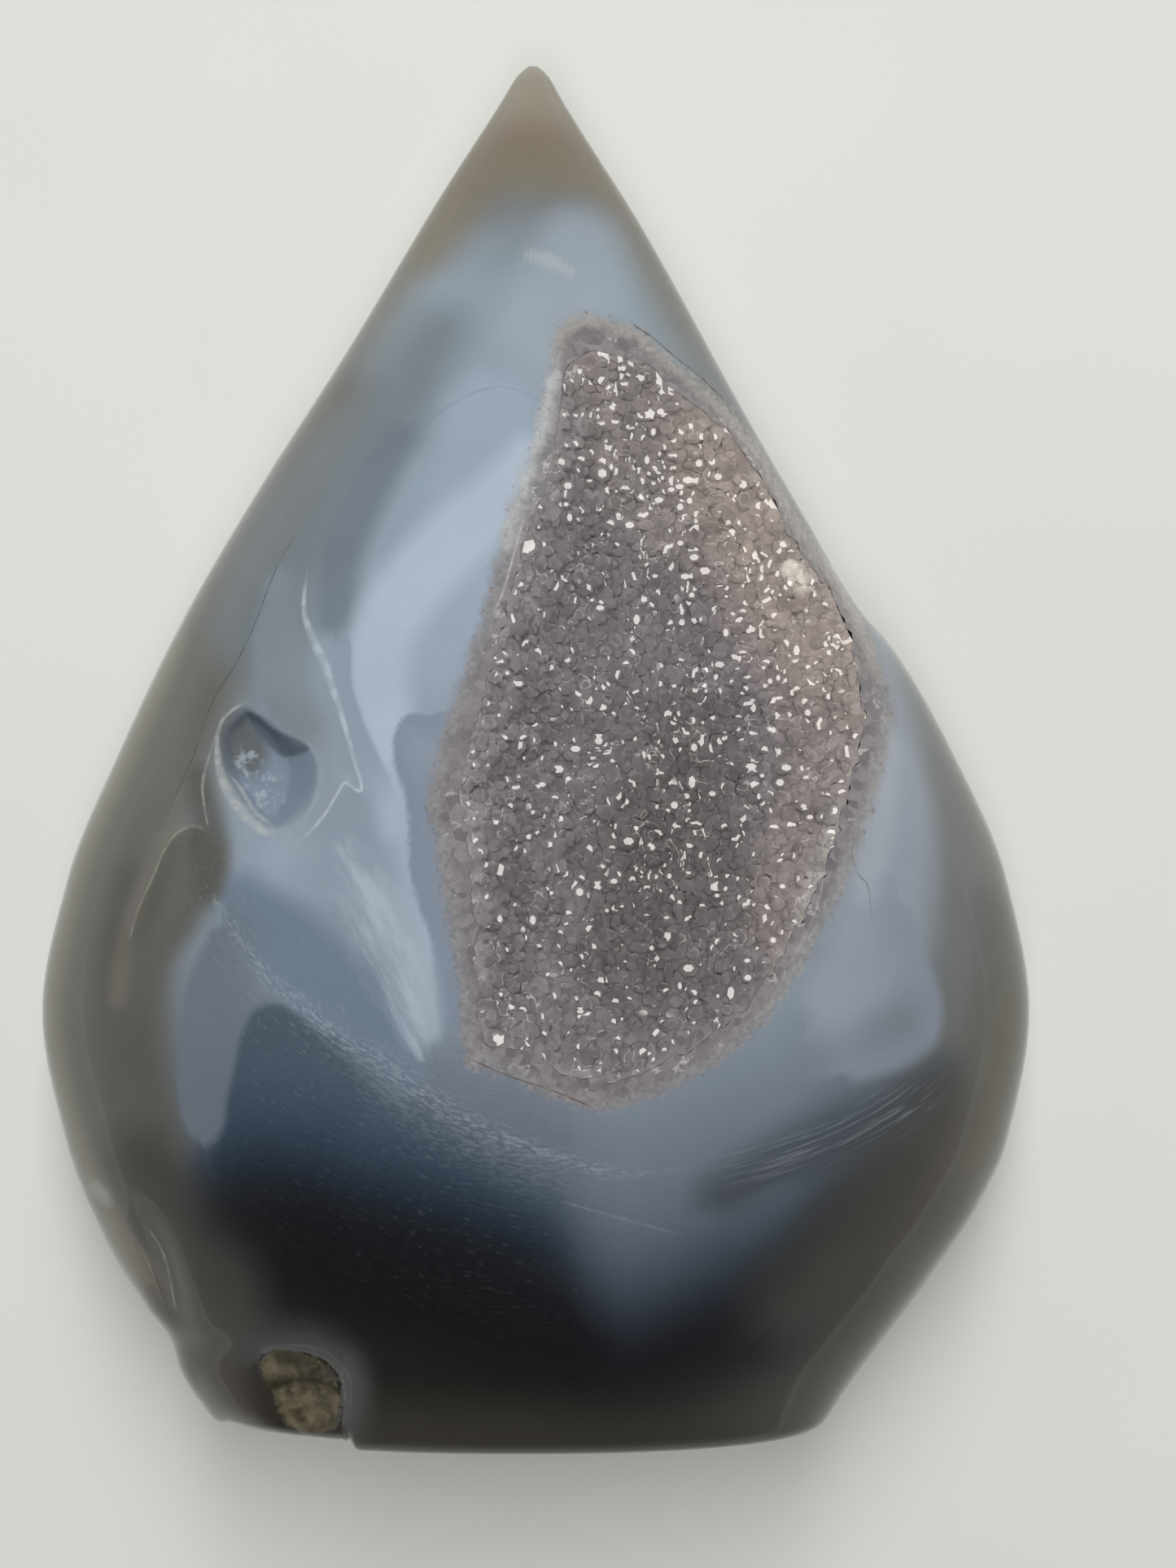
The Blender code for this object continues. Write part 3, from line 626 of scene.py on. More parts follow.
# Strokes: colour, cover, softness to the left and right of travel, and (x, y, half width) points
STROKES = {
    "left olive": ((103, 102, 95), 0.85, 5.0, 5.0, (
        (-15.8, 27.5, 0.5), (-21.7, 17.4, 0.8), (-26.5, 7.4, 1.2), (-30.7, -2.5, 2.0), (-33.9, -12.4, 3.0),
        (-35.9, -22.2, 3.4), (-34.7, -32.2, 3.0), (-31.7, -41.7, 2.0))),
    "left dark": ((89, 87, 82), 0.9, 4.5, 4.0, (
        (-31.5, -12.0, 0.2), (-32.8, -18.5, 0.8), (-32.6, -25.0, 1.0), (-31.8, -31.0, 1.2))),
    "below the lobe": ((64, 62, 58), 0.9, 5.0, 5.0, (
        (-31.4, -34.0, 0.3), (-28.8, -37.8, 1.5), (-26.5, -42.0, 2.0), (-24.5, -46.5, 1.0))),
    # Painted sheen over olive agate: the pale line along the left outline, where the polish mirrors the paper.
    "left rim": ((124, 120, 109), 0.8, 2.0, 3.0, (
        (-29.9, 8.3, 0.3), (-33.1, 0.9, 0.5), (-36.8, -6.5, 0.7), (-39.2, -13.9, 0.8), (-40.4, -21.2, 0.7),
        (-39.4, -27.9, 0.6), (-37.6, -33.9, 0.5), (-35.0, -39.2, 0.6), (-31.3, -45.2, 0.6))),
    "upper left grey": ((118, 126, 132), 0.85, 5.0, 5.0, (
        (-8.0, 33.0, 0.0), (-11.6, 27.2, 0.8), (-16.9, 20.5, 1.6), (-20.1, 15.2, 2.0), (-22.0, 9.9, 2.0))),
    "beside the ridge": ((133, 142, 149), 0.8, 2.5, 1.5, (
        (-20.8, 12.6, 0.3), (-20.8, 8.0, 1.2), (-20.0, 4.0, 1.2), (-18.6, 1.2, 0.6))),
    "shade by the band": ((114, 124, 134), 0.85, 2.2, 1.4, (
        (-11.0, 24.5, 0.5), (-13.1, 21.0, 0.8), (-15.5, 15.1, 0.8), (-15.9, 9.8, 0.6))),
    # Painted reflection of the window beyond the point, over milky agate: the light field, the light band and the
    # light along the finger. Left of the band and in the finger, the darker tones are where that painted
    # reflection ends.
    "light field": ((155, 168, 182), 0.8, 3.0, 3.0, (
        (-3.6, 26.0, 2.2), (-3.6, 20.2, 2.8), (-6.2, 13.6, 3.0), (-8.4, 7.1, 2.0))),
    "light band": ((175, 187, 201), 0.95, 2.8, 2.4, (
        (-0.4, 22.3, 0.8), (-1.8, 20.2, 1.3), (-5.7, 16.6, 1.4), (-9.3, 12.9, 1.4), (-11.8, 9.0, 1.3),
        (-12.4, 5.4, 1.2), (-11.8, 2.4, 1.0), (-11.2, -0.6, 0.5), (-10.7, -3.4, 0.3), (-10.4, -6.4, 0.1))),
    "left of the band": ((138, 152, 166), 0.85, 0.4, 2.6, (
        (-14.6, 7.6, 0.0), (-14.5, 4.6, 0.0), (-13.5, 1.5, 0.0), (-12.4, -0.9, 0.0), (-11.3, -3.0, 0.0))),
    "light along the finger": ((164, 177, 191), 0.85, 1.0, 3.4, tuple((x, y, 0.2) for x, y, _ in BAND_BORDER[7:])),
    "finger": ((130, 141, 156), 0.95, 4.5, 0.35, BAND_BORDER),
    "under the pit": ((146, 161, 174), 0.75, 2.0, 2.0, (
        (-19.8, -9.6, 0.6), (-16.2, -10.2, 1.6), (-12.8, -11.0, 1.4))),
    "mid blue": ((110, 126, 142), 0.85, 2.5, 2.5, (
        (-23.0, -12.6, 0.8), (-19.5, -16.0, 1.8), (-15.8, -19.4, 2.0), (-12.4, -22.6, 1.6), (-10.3, -25.6, 0.8))),
    "milk streaks": ((160, 172, 184), 0.7, 1.5, 2.5, (
        (-12.2, -11.5, 0.6), (-10.4, -15.0, 1.0), (-9.0, -19.0, 1.0), (-8.2, -22.4, 0.5))),
    # Painted reflection of the surroundings at the left side, over blue-grey agate.
    "light lobe": ((109, 119, 129), 0.9, 0.8, 4.5, (
        (-26.4, -30.4, 0.8), (-26.6, -28.3, 1.2), (-26.2, -24.4, 1.5), (-25.6, -19.9, 1.5), (-24.8, -15.6, 0.5))),
    # Painted reflections of the surroundings at the right side, over blue-grey agate: this stroke, the one below
    # it and the right lobe.
    "right light": ((150, 158, 169), 0.9, 4.5, 3.0, (
        (28.8, 8.6, 0.3), (30.4, 2.4, 0.9), (29.6, -3.0, 1.1), (29.0, -8.0, 1.4), (28.0, -12.6, 1.8),
        (26.8, -17.0, 1.8), (24.0, -20.0, 1.2))),
    "painted reflection over milk at the right": ((165, 171, 180), 0.8, 2.2, 2.2, (
        (28.6, -0.5, 0.0), (27.6, -5.0, 0.4), (27.0, -9.0, 0.4), (26.6, -12.0, 0.0))),
    "right grey": ((112, 115, 113), 0.9, 6.0, 3.2, (
        (31.8, 6.6, 0.0), (33.4, -1.5, 0.0), (34.6, -5.6, 0.0), (35.2, -10.6, 0.0), (35.4, -15.6, 0.0),
        (35.4, -19.9, 0.0), (34.4, -24.2, 0.0))),
    "right dark": ((94, 95, 92), 0.9, 4.5, 4.0, (
        (37.6, -14.0, 0.0), (37.8, -20.5, 0.5), (36.0, -26.2, 0.8), (31.6, -30.0, 0.3))),
    "right lobe": ((136, 145, 158), 0.85, 1.3, 5.0, (
        (29.6, -13.8, 0.0), (30.6, -17.2, 0.0), (31.7, -19.6, 0.0), (32.1, -21.8, 0.0), (31.4, -24.2, 0.0),
        (29.0, -25.6, 0.0), (25.6, -26.2, 0.0))),
    "dark by the streaks": ((74, 79, 86), 0.85, 4.0, 2.6, (
        (15.0, -36.0, 0.0), (19.5, -33.6, 0.4), (24.0, -31.9, 0.8), (28.5, -30.4, 0.8), (33.0, -27.4, 0.2))),
    "right plateau": ((68, 65, 61), 0.9, 7.0, 6.0, (
        (20.8, -45.0, 0.0), (25.5, -40.6, 0.8), (30.2, -35.6, 1.0), (33.5, -31.0, 0.0))),
    "right rim": ((98, 93, 82), 0.85, 2.4, 6.0, (
        (39.6, -22.0, 0.0), (38.7, -27.9, 0.3), (36.4, -35.8, 0.2), (32.6, -42.7, 0.0))),
    "low right edge": ((56, 51, 44), 0.5, 7.0, 7.0, ((34.0, -39.8, 0.0), (29.8, -45.4, 0.0), (26.0, -51.4, 0.0))),
    "brown foot": ((60, 57, 50), 0.85, 6.0, 1.0, (
        (-13.5, -56.7, 0.8), (-2.3, -57.0, 0.9), (9.4, -57.0, 0.9), (19.4, -55.5, 0.9))),
    "warm by the rind": ((70, 65, 57), 0.75, 4.0, 3.0, (
        (-30.0, -46.0, 0.5), (-27.5, -50.0, 1.0), (-25.2, -54.2, 0.8))),
    "glow in the chip": ((98, 95, 88), 0.7, 2.5, 1.0, (
        (-27.6, -53.0, 0.0), (-26.2, -55.4, 0.3), (-23.4, -56.5, 0.0))),
    "brown at the point": ((127, 118, 102), 0.85, 4.6, 3.4, (
        (4.9, 47.8, 0.2), (0.0, 48.8, 0.4), (-3.9, 48.2, 0.4), (-6.8, 45.0, 0.3), (-9.0, 41.5, 0.1))),
    "milk under the point": ((156, 166, 176), 0.75, 4.0, 4.0, (
        (3.6, 40.9, 1.2), (3.2, 38.0, 2.2), (0.9, 33.8, 1.6))),
    "olive by the pit": ((90, 91, 87), 0.85, 1.8, 1.8, (
        (-27.0, -2.8, 0.0), (-26.2, -6.0, 0.5), (-25.8, -8.6, 0.8), (-25.8, -11.4, 0.3))),
    "fold glow": ((114, 110, 101), 0.7, 1.3, 1.3, (
        (-29.2, -7.6, 0.1), (-30.4, -10.0, 0.2), (-31.8, -13.2, 0.3), (-32.8, -17.0, 0.4), (-33.4, -20.6, 0.1))),
    "white wisp": ((178, 185, 188), 0.6, 0.5, 0.5, ((-0.5, 39.9, 0.1), (1.2, 39.4, 0.25), (2.9, 38.4, 0.1))),
    "pale spot": ((152, 153, 148), 0.85, 0.9, 0.9, ((-36.0, -36.6, 0.3), (-35.2, -37.2, 0.25))),
    "halo above the rind": ((66, 69, 70), 0.75, 3.2, 1.2, (
        (-21.9, -49.8, 0.0), (-19.1, -48.2, 0.2), (-16.6, -48.7, 0.2), (-15.0, -50.4, 0.0))),
    "halo beside the rind": ((72, 77, 76), 0.75, 2.6, 0.8, (
        (-15.0, -50.0, 0.0), (-14.6, -52.4, 0.3), (-14.9, -55.2, 0.0))),
}
# Patches: colour, cover, softness, and a closed outline
PATCHES = {
    "olive hollow": ((90, 90, 84), 0.85, 2.6, (
        (-26.4, -7.3), (-27.4, -7.2), (-28.8, -8.0), (-29.8, -9.4), (-31.0, -12.6), (-32.4, -16.6), (-31.7, -19.2),
        (-30.4, -19.6), (-28.9, -17.3), (-27.2, -15.5), (-26.1, -13.9), (-25.1, -12.4), (-24.5, -10.4),
        (-24.6, -9.2), (-25.4, -8.1))),
    "pit floor": ((127, 141, 156), 0.9, 0.5, (
        (-23.3, 2.4), (-21.4, 1.3), (-19.8, 0.4), (-18.0, -0.6), (-17.3, -1.4), (-17.1, -2.7), (-17.4, -4.7),
        (-18.5, -6.1), (-19.9, -6.9), (-21.0, -6.4), (-22.5, -5.2), (-23.8, -3.4), (-24.7, -1.4), (-24.8, 0.6),
        (-24.2, 1.8))),
    "pit brown": ((96, 98, 98), 0.8, 1.6, (
        (-23.6, 2.2), (-22.2, 0.9), (-21.6, -0.9), (-22.4, -2.6), (-23.9, -2.4), (-24.7, -1.2), (-24.7, 0.6))),
    # Painted shade: the dark wedge where the pit's upper wall shades its floor.
    "pit wedge": ((88, 99, 110), 0.95, 0.35, (
        (-23.3, 2.5), (-22.3, 2.1), (-21.3, 1.2), (-19.8, 0.5), (-18.6, 0.0), (-17.8, -0.6), (-18.7, -1.0),
        (-19.6, -1.2), (-20.5, -1.1), (-21.6, -0.1), (-22.6, 1.0))),
}
# The dark blue shape, dark agate with a painted reflection of the dark surroundings below the foot over it: its
# outline, and its tones by the height over the tide line
DARK_SHAPE = (
    (-26.4, -33.4), (-25.1, -31.7), (-24.3, -30.2), (-24.1, -28.4), (-23.6, -26.4), (-23.1, -23.8), (-22.6, -22.5),
    (-21.8, -21.2), (-20.1, -20.6), (-18.6, -21.3), (-17.1, -22.5), (-15.5, -23.3), (-13.9, -24.8), (-12.4, -26.2),
    (-10.6, -27.9), (-8.2, -29.6), (-4.6, -31.8), (-1.0, -34.4), (1.8, -37.6), (1.6, -41.0), (-2.2, -43.0),
    (-9.7, -42.0), (-17.2, -41.0), (-25.0, -39.0),
)
SHAPE_HEART = (
    (-24, (46, 43, 38)), (-14, (34, 33, 31)), (-8, (26, 27, 28)), (-4, (28, 29, 32)), (-1.5, (33, 37, 43)),
    (0, (38, 46, 57)), (3, (54, 67, 82)), (6, (66, 80, 95)), (10, (75, 89, 102)), (14, (80, 93, 105)),
)
QUARTZ_GROUND = (138, 135, 135)
QUARTZ_STROKES = {
    "top": ((156, 152, 147), 0.9, 4.0, 4.0, ((3.0, 33.0, 1.0), (8.0, 33.0, 1.0), (12.0, 30.0, 1.0))),
    "pale left": ((180, 181, 180), 0.9, 2.5, 2.5, (
        (2.0, 28.5, 0.6), (1.6, 25.0, 0.9), (0.6, 21.0, 0.9), (-1.4, 16.5, 0.5))),
    "beige right": ((170, 162, 156), 0.9, 4.0, 4.0, ((17.0, 26.0, 1.5), (22.0, 19.0, 1.5), (27.0, 9.0, 1.5))),
    "low right": ((152, 149, 147), 0.8, 3.0, 3.0, ((28.0, 0.0, 1.0), (25.0, -10.0, 1.0), (19.0, -21.0, 1.0))),
}


def lay_stroke(tone, x, y, colour, cover, left_soft, right_soft, path):
    """Mixes a stroke's colour in: fully within its half width, then fading over its softness on that side."""
    offset, _, half = from_path(x, y, path)
    soft = np.where(offset > 0, right_soft, left_soft)
    share = cover * (1 - smooth(0, 1, (np.abs(offset) - half) / soft))
    return tone + (np.array(colour, float) - tone) * share[:, None]


def lay_patch(tone, x, y, colour, cover, soft, path):
    """Mixes a patch's colour in: its border is a soft step this wide, centred on its outline."""
    share = cover * smooth(-soft / 2, soft / 2, inside_of(x, y, path))
    return tone + (np.array(colour, float) - tone) * share[:, None]


def heart_tone(x, y):
    """Colour of the thick middle: by the height over the tide line low down, by y alone further up. It is the
    agate's colour with painted reflection, dark low down and light blue above.
    """
    low = curve_through(LOW_HEART, y - curve_through(TIDE, x))
    up = smooth(-8, 12, y)[:, None]
    return low * (1 - up) + curve_through(HIGH_HEART, y) * up


def front_tone(x, y):
    """Colour of the front, 0 to 255: the heart tone mixed with the edge tone near the outline, then strokes, the
    dark shape and the patches. Much of it is painted reflection and painted shade over the agate's own colour.
    """
    towards_edge = smooth(EDGE_FROM, EDGE_FULL, width_share(x, y))[:, None]
    tone = heart_tone(x, y) * (1 - towards_edge) + curve_through(EDGE, y) * towards_edge
    for stroke in STROKES.values():
        tone = lay_stroke(tone, x, y, *stroke)
    border = 0.35 + 2.8 * np.maximum(smooth(-19, -9, x), smooth(-31, -36, y))
    share = 0.95 * smooth(-border, border, inside_of(x, y, DARK_SHAPE))[:, None]
    tone = tone * (1 - share) + curve_through(SHAPE_HEART, y - curve_through(TIDE, x)) * share
    for patch in PATCHES.values():
        tone = lay_patch(tone, x, y, *patch)
    return tone


def quartz_tone(x, y):
    """Colour of the cut quartz round the hollow: grey-beige, palest at the upper left, browner at the right."""
    tone = np.tile(np.array(QUARTZ_GROUND, float), (len(x), 1))
    for stroke in QUARTZ_STROKES.values():
        tone = lay_stroke(tone, x, y, *stroke)
    return tone


def back_tone(x, y):
    """Colour of the back, which nobody sees in the photograph: the same layers and painted reflection as the
    front's heart, greyer, without the strokes.
    """
    layers = 0.5 + 0.5 * np.sin(np.hypot(x - 6, (y + 8) * 0.8) * 0.9 + 1.6 * lumps(x, y, 60, 8))
    heart = heart_tone(x, y + 4) * (0.86 + 0.1 * layers[:, None])
    towards_edge = smooth(0.3, 0.98, width_share(x, y))[:, None]
    return heart * (1 - towards_edge) + curve_through(EDGE, y) * towards_edge


def linear(colour):
    """Screen colour from 0 to 255 as linear light: (c + 0.055) / 1.055, to the power 2.4."""
    part = np.clip(np.asarray(colour, float) / 255, 0, 1)
    return np.where(part <= 0.04045, part / 12.92, ((part + 0.055) / 1.055) ** 2.4)


# %% Tones onto the stone
LIGHT_LEVEL = 0.965  # light that a level white card gives back in this studio


def opaque(tone):
    """Reflectance with an alpha of one, from a tone as it looks in the studio's light."""
    return np.column_stack([linear(tone) / LIGHT_LEVEL, np.ones(len(tone))])


x, y, z = stone_points.T
behind = smooth(WAIST + 1.0, WAIST - 3.0, z)[:, None]
tone = front_tone(x, y) * (1 - behind) + back_tone(x, y) * behind
give(agate, "tone", opaque(tone), "FLOAT_COLOR")
print("tones from", tone.min(0).round(), "to", tone.max(0).round())

# %% [markdown]
# ## Fine marks as distances
# A crest's painted highlight, a third of a millimetre wide, is narrower than a face of the grid, so a colour
# stored on the vertices would come out jagged. The distance from the crest is smooth, though, so that is what is
# stored, and the material draws the fine line from it at any sharpness. The same goes for the border of the
# quartz.

# %% Distances onto the stone
front_side = smooth(WAIST - 1.0, WAIST + 1.0, z)
# Lines of one family keep over a millimetre apart: (colour, cover) of each. The pale tints of the crescents, the
# ridge, the arcs, the folds, the pit's lip, the low curve and the lips are painted highlights where a crest
# catches the light; the seam's dark tint is a painted shade in its groove, and the bow's blue-grey is the painted
# edge of the window's reflection. The fissure, the cracks, the scratch and the flaw keep their own colours, and
# the rind's split is a dark line.
FIRST_LINES = {
    "crescent": ((178, 181, 179), 0.75),
    "seam": ((76, 77, 74), 0.55),
    "low_curve": ((146, 145, 135), 0.7),
    "pit_lip": ((154, 168, 181), 0.6),
    "side_fold": ((150, 148, 140), 0.6),
    "bow": ((116, 130, 144), 0.4),
    "fissure": ((104, 104, 96), 0.6),
    "lip_left": ((196, 194, 188), 0.7),
    "lip_right": ((176, 172, 166), 0.6),
    "scratch": ((140, 150, 162), 0.35),
    "right_flaw": ((112, 118, 124), 0.7),
    "crack_high": ((72, 58, 46), 0.85),
    "crack_low": ((98, 70, 52), 0.8),
}
# The second family: painted highlights on crests, and the rind's split as a dark line.
SECOND_LINES = {
    "ridge": ((190, 200, 209), 0.7),
    "outer_arc": ((160, 162, 156), 0.65),
    "inner_crescent": ((186, 190, 190), 0.8),
    "side_fold_out": ((136, 134, 126), 0.5),
    "rind_split": ((40, 36, 28), 0.8),
}


def nearest_line(lines):
    """(distance, cover and half width; colour) of the line nearest to each vertex, for one family of lines."""
    best = np.full(len(x), 1e9)
    numbers, tint = np.zeros((len(x), 3)), np.zeros((len(x), 3))
    for name, (line_tint, cover) in lines.items():
        offset, along, half = from_path(x, y, CREASES[name][0])
        away = np.abs(offset)
        ends = smooth(0, 0.12, along) * smooth(1, 0.88, along)
        strength = cover * ends * smooth(0.4, 0.15, away - 1.5 * half) * front_side
        nearer = (away < best)[:, None]
        numbers = np.where(nearer, np.column_stack([offset, strength, half]), numbers)
        tint = np.where(nearer, line_tint, tint)
        best = np.minimum(best, away)
    return numbers, tint


for family, lines in (("first", FIRST_LINES), ("second", SECOND_LINES)):
    numbers, tint = nearest_line(lines)
    give(agate, "line_" + family, numbers)
    give(agate, "tint_" + family, opaque(tint), "FLOAT_COLOR")

GRAIN_CENTRE = (7.0, 9.0)
GRAIN_ARC = (
    (-25.2, -12.5, 0.3), (-23.0, -15.6, 0.6), (-20.9, -18.4, 0.8), (-17.7, -20.9, 0.9), (-14.6, -23.6, 1.0),
    (-11.9, -25.2, 1.1), (-7.4, -28.3, 1.1), (-4.0, -30.2, 0.9), (0.5, -32.0, 0.7), (6.2, -33.7, 0.5),
    (10.4, -33.6, 0.3), (17.6, -33.4, 0.7), (21.5, -32.1, 0.9), (25.8, -30.2, 0.9), (30.2, -29.0, 0.6),
    (32.5, -27.7, 0.3),
)
# Milky fibres left of the hollow: (x, y, half width)
MILK = ((-14.5, -8.5, 1.6), (-12.8, -12.5, 3.2), (-11.2, -16.5, 4.0), (-9.8, -20.5, 3.0), (-8.8, -24.5, 1.0))
# Rough patch on the pit's floor
FROST = (
    (-24.2, -0.6), (-23.2, -0.2), (-22.0, -1.2), (-20.6, -2.4), (-20.0, -4.2), (-20.2, -5.8), (-21.4, -6.0),
    (-22.6, -4.8), (-23.6, -3.4), (-24.4, -2.0),
)
offset, _, half = from_path(x, y, GRAIN_ARC)
arc = np.exp(-((offset / np.maximum(half, 0.2)) ** 2))
below_arc = 0.55 * np.exp(-((offset / 3.4) ** 2)) * smooth(-0.2, 0.4, offset)
below_arc = below_arc * smooth(-21, -9, x) * smooth(9, -2, x)
arc = np.maximum(arc, below_arc) * smooth(15, 5, x)
drag = np.exp(-((offset / 1.5) ** 2)) * smooth(12, 17, x) * smooth(34, 30, x)
veil = np.exp(-np.abs(offset) / 7.0) * smooth(16, -6, x) * smooth(-34, -26, x) * smooth(-50, -44, y)
frost = smooth(-0.5, 0.5, inside_of(x, y, FROST))
grain_x, grain_y = x - GRAIN_CENTRE[0], y - GRAIN_CENTRE[1]
turned = np.arctan2(grain_x, -grain_y) * 41.0
inside_quartz, in_pocket = inside_of(x, y, QUARTZ_EDGE), inside_of(x, y, POCKET)
give(agate, "grain_place", np.column_stack([turned, np.hypot(grain_x, grain_y), z]))
give(agate, "grain", np.column_stack([arc * front_side, veil * front_side, frost * front_side]))
give(agate, "drag", drag * front_side, "FLOAT")
offset, _, half = from_path(x, y, MILK)
give(agate, "milk", smooth(1, 0, np.abs(offset) / np.maximum(half, 0.1)) * front_side, "FLOAT")
give(agate, "borders", np.column_stack([inside_quartz, in_pocket, front_side]))
quartz = quartz_tone(x, y)
give(agate, "quartz_dark", opaque(quartz - 16), "FLOAT_COLOR")
give(agate, "quartz_pale", opaque(quartz + 14), "FLOAT_COLOR")
print("fine marks:", len(agate.attributes), "attributes")


# %% [markdown]
# ## Building a material with nodes
# A material is a small graph: textures and stored attributes on the left, the Principled shader on the right.
# Wiring it by hand in the editor is easy to show and hard to repeat, so here helpers add a node with its
# inputs in one line. An input is a number, a colour, or the output of another node.

# %% Node helpers
def new_finish(name):
    """(material, its tree, its Principled shader) of a new material."""
    made = bpy.data.materials.new(name)
    made.use_nodes = True
    return made, made.node_tree, made.node_tree.nodes["Principled BSDF"]


def add(tree, kind, inputs=(), **settings):
    """Adds a shader node. inputs gives a value or another node's output for each of its sockets."""
    made = tree.nodes.new("ShaderNode" + kind)
    for key, value in settings.items():
        setattr(made, key, value)
    for socket, value in dict(inputs).items():
        if isinstance(value, bpy.types.NodeSocket):
            tree.links.new(value, made.inputs[socket])
        else:
            made.inputs[socket].default_value = value
    return made


def calc(tree, operation, first, second=0.0):
    """One step of arithmetic on two values."""
    return add(tree, "Math", {0: first, 1: second}, operation=operation).outputs[0]


def times(tree, first, second):
    """One value times another."""
    return calc(tree, "MULTIPLY", first, second)


def plus(tree, first, second):
    """One value plus another."""
    return calc(tree, "ADD", first, second)


def ease(tree, value, low, high, at_low=0.0, at_high=1.0):
    """A soft step from at_low to at_high between two values."""
    spread = {"Value": value, "From Min": low, "From Max": high, "To Min": at_low, "To Max": at_high}
    return add(tree, "MapRange", spread, interpolation_type="SMOOTHSTEP").outputs["Result"]


def blend(tree, share, first, second, mode="MIX"):
    """Mixes two colours."""
    made = add(tree, "Mix", {"Factor": share}, data_type="RGBA", blend_type=mode)
    for socket, value in ((6, first), (7, second)):
        if isinstance(value, bpy.types.NodeSocket):
            tree.links.new(value, made.inputs[socket])
        else:
            made.inputs[socket].default_value = (*value, 1.0)
    return made.outputs[2]


def noise(tree, place, size, detail=3.0, roughness=0.5):
    """Smooth noise around 0.5, with lumps of this size in the units of the place."""
    return add(tree, "TexNoise", {
        "Vector": place, "Scale": 1.0 / size, "Detail": detail, "Roughness": roughness,
    }).outputs["Fac"]


def attribute(tree, name, output="Color"):
    """An attribute that was given to the mesh, as its Color, Vector or Fac."""
    return add(tree, "Attribute", attribute_name=name).outputs[output]


def stored(tree, name):
    """The three numbers of an attribute."""
    return add(tree, "SeparateXYZ", {0: attribute(tree, name, "Vector")}).outputs


def grey(tree, level):
    """The grey of this level, as a colour."""
    return add(tree, "CombineXYZ", {0: level, 1: level, 2: level}).outputs[0]


def shade(colour):
    """Linear reflectance of a screen colour in the studio's light."""
    return tuple(float(c) for c in linear(colour) / LIGHT_LEVEL)


# %% [markdown]
# ## The polished agate
# Polished agate mirrors its surroundings weakly, a little over four parts in a hundred, and lets light sink in a
# millimetre or so before it comes back. The painted tones are the colour, mottled a little. Along the arc below
# the hollow the polish is full of tiny pits that lie in streaks, so there the surface turns rougher and paler.
# The flush band of cut quartz round the hollow is part of the same polish: a grey granular border with brown
# specks of iron.

# %% Polished agate
MILK_TURN = math.radians(30)  # how far the milky fibres lean from -Y towards +X
QUARTZ_CELL = 0.0008  # size in metres of the cut crystals that show in the quartz band


def mottled_tone(tree, place):
    """The painted tones, times broad soft mottling and fine faint clouds."""
    mottle = plus(tree, times(tree, noise(tree, place, 0.007), 0.16), 0.92)
    cloud = plus(tree, times(tree, noise(tree, place, 0.0006, 2.0), 0.05), 0.975)
    return blend(tree, 1.0, attribute(tree, "tone"), grey(tree, times(tree, mottle, cloud)), "MULTIPLY")


def pitted_polish(tree, place):
    """(share of pale rough grain, height of its pits): streaks along the arc and in the veil round it, lines
    drawn out to its right, and frost on the pit's floor. Where they meet, the strongest counts."""
    grain_place = attribute(tree, "grain_place", "Vector")
    arc, veil, frost = stored(tree, "grain")
    drag = attribute(tree, "drag", "Fac")
    streak_place = add(tree, "Mapping", {"Vector": grain_place, "Scale": (0.9, 2.6, 1.0)}).outputs[0]
    streaks = noise(tree, streak_place, 0.6, 4.0, 0.6)
    arc_share = times(tree, ease(tree, streaks, 0.40, 0.66), arc)
    line_place = add(tree, "Mapping", {"Vector": grain_place, "Scale": (0.08, 3.4, 0.6)}).outputs[0]
    drag_share = times(tree, ease(tree, noise(tree, line_place, 0.9, 3.0, 0.6), 0.48, 0.66), drag)
    veil_share = times(tree, ease(tree, streaks, 0.56, 0.72), veil)
    frost_share = times(tree, ease(tree, noise(tree, place, 0.0009, 5.0, 0.7), 0.46, 0.66), frost)
    grainy = times(tree, arc_share, 0.4)
    for share, most in ((veil_share, 0.24), (frost_share, 0.7), (drag_share, 0.26)):
        grainy = calc(tree, "MAXIMUM", grainy, times(tree, share, most))
    return grainy, times(tree, streaks, plus(tree, times(tree, arc, 0.7), veil))


def milky_fibres(tree, place):
    """Share of the milky fibres: noise drawn out eight times along their direction, near their path."""
    drawn_out = {"Vector": place, "Rotation": (0.0, 0.0, MILK_TURN), "Scale": (1.0, 8.0, 1.0)}
    fibre_place = add(tree, "Mapping", drawn_out, vector_type="TEXTURE").outputs[0]
    fibres = ease(tree, noise(tree, fibre_place, 0.0010, 4.0, 0.6), 0.40, 0.66, 0.0, 0.5)
    return times(tree, fibres, attribute(tree, "milk", "Fac"))


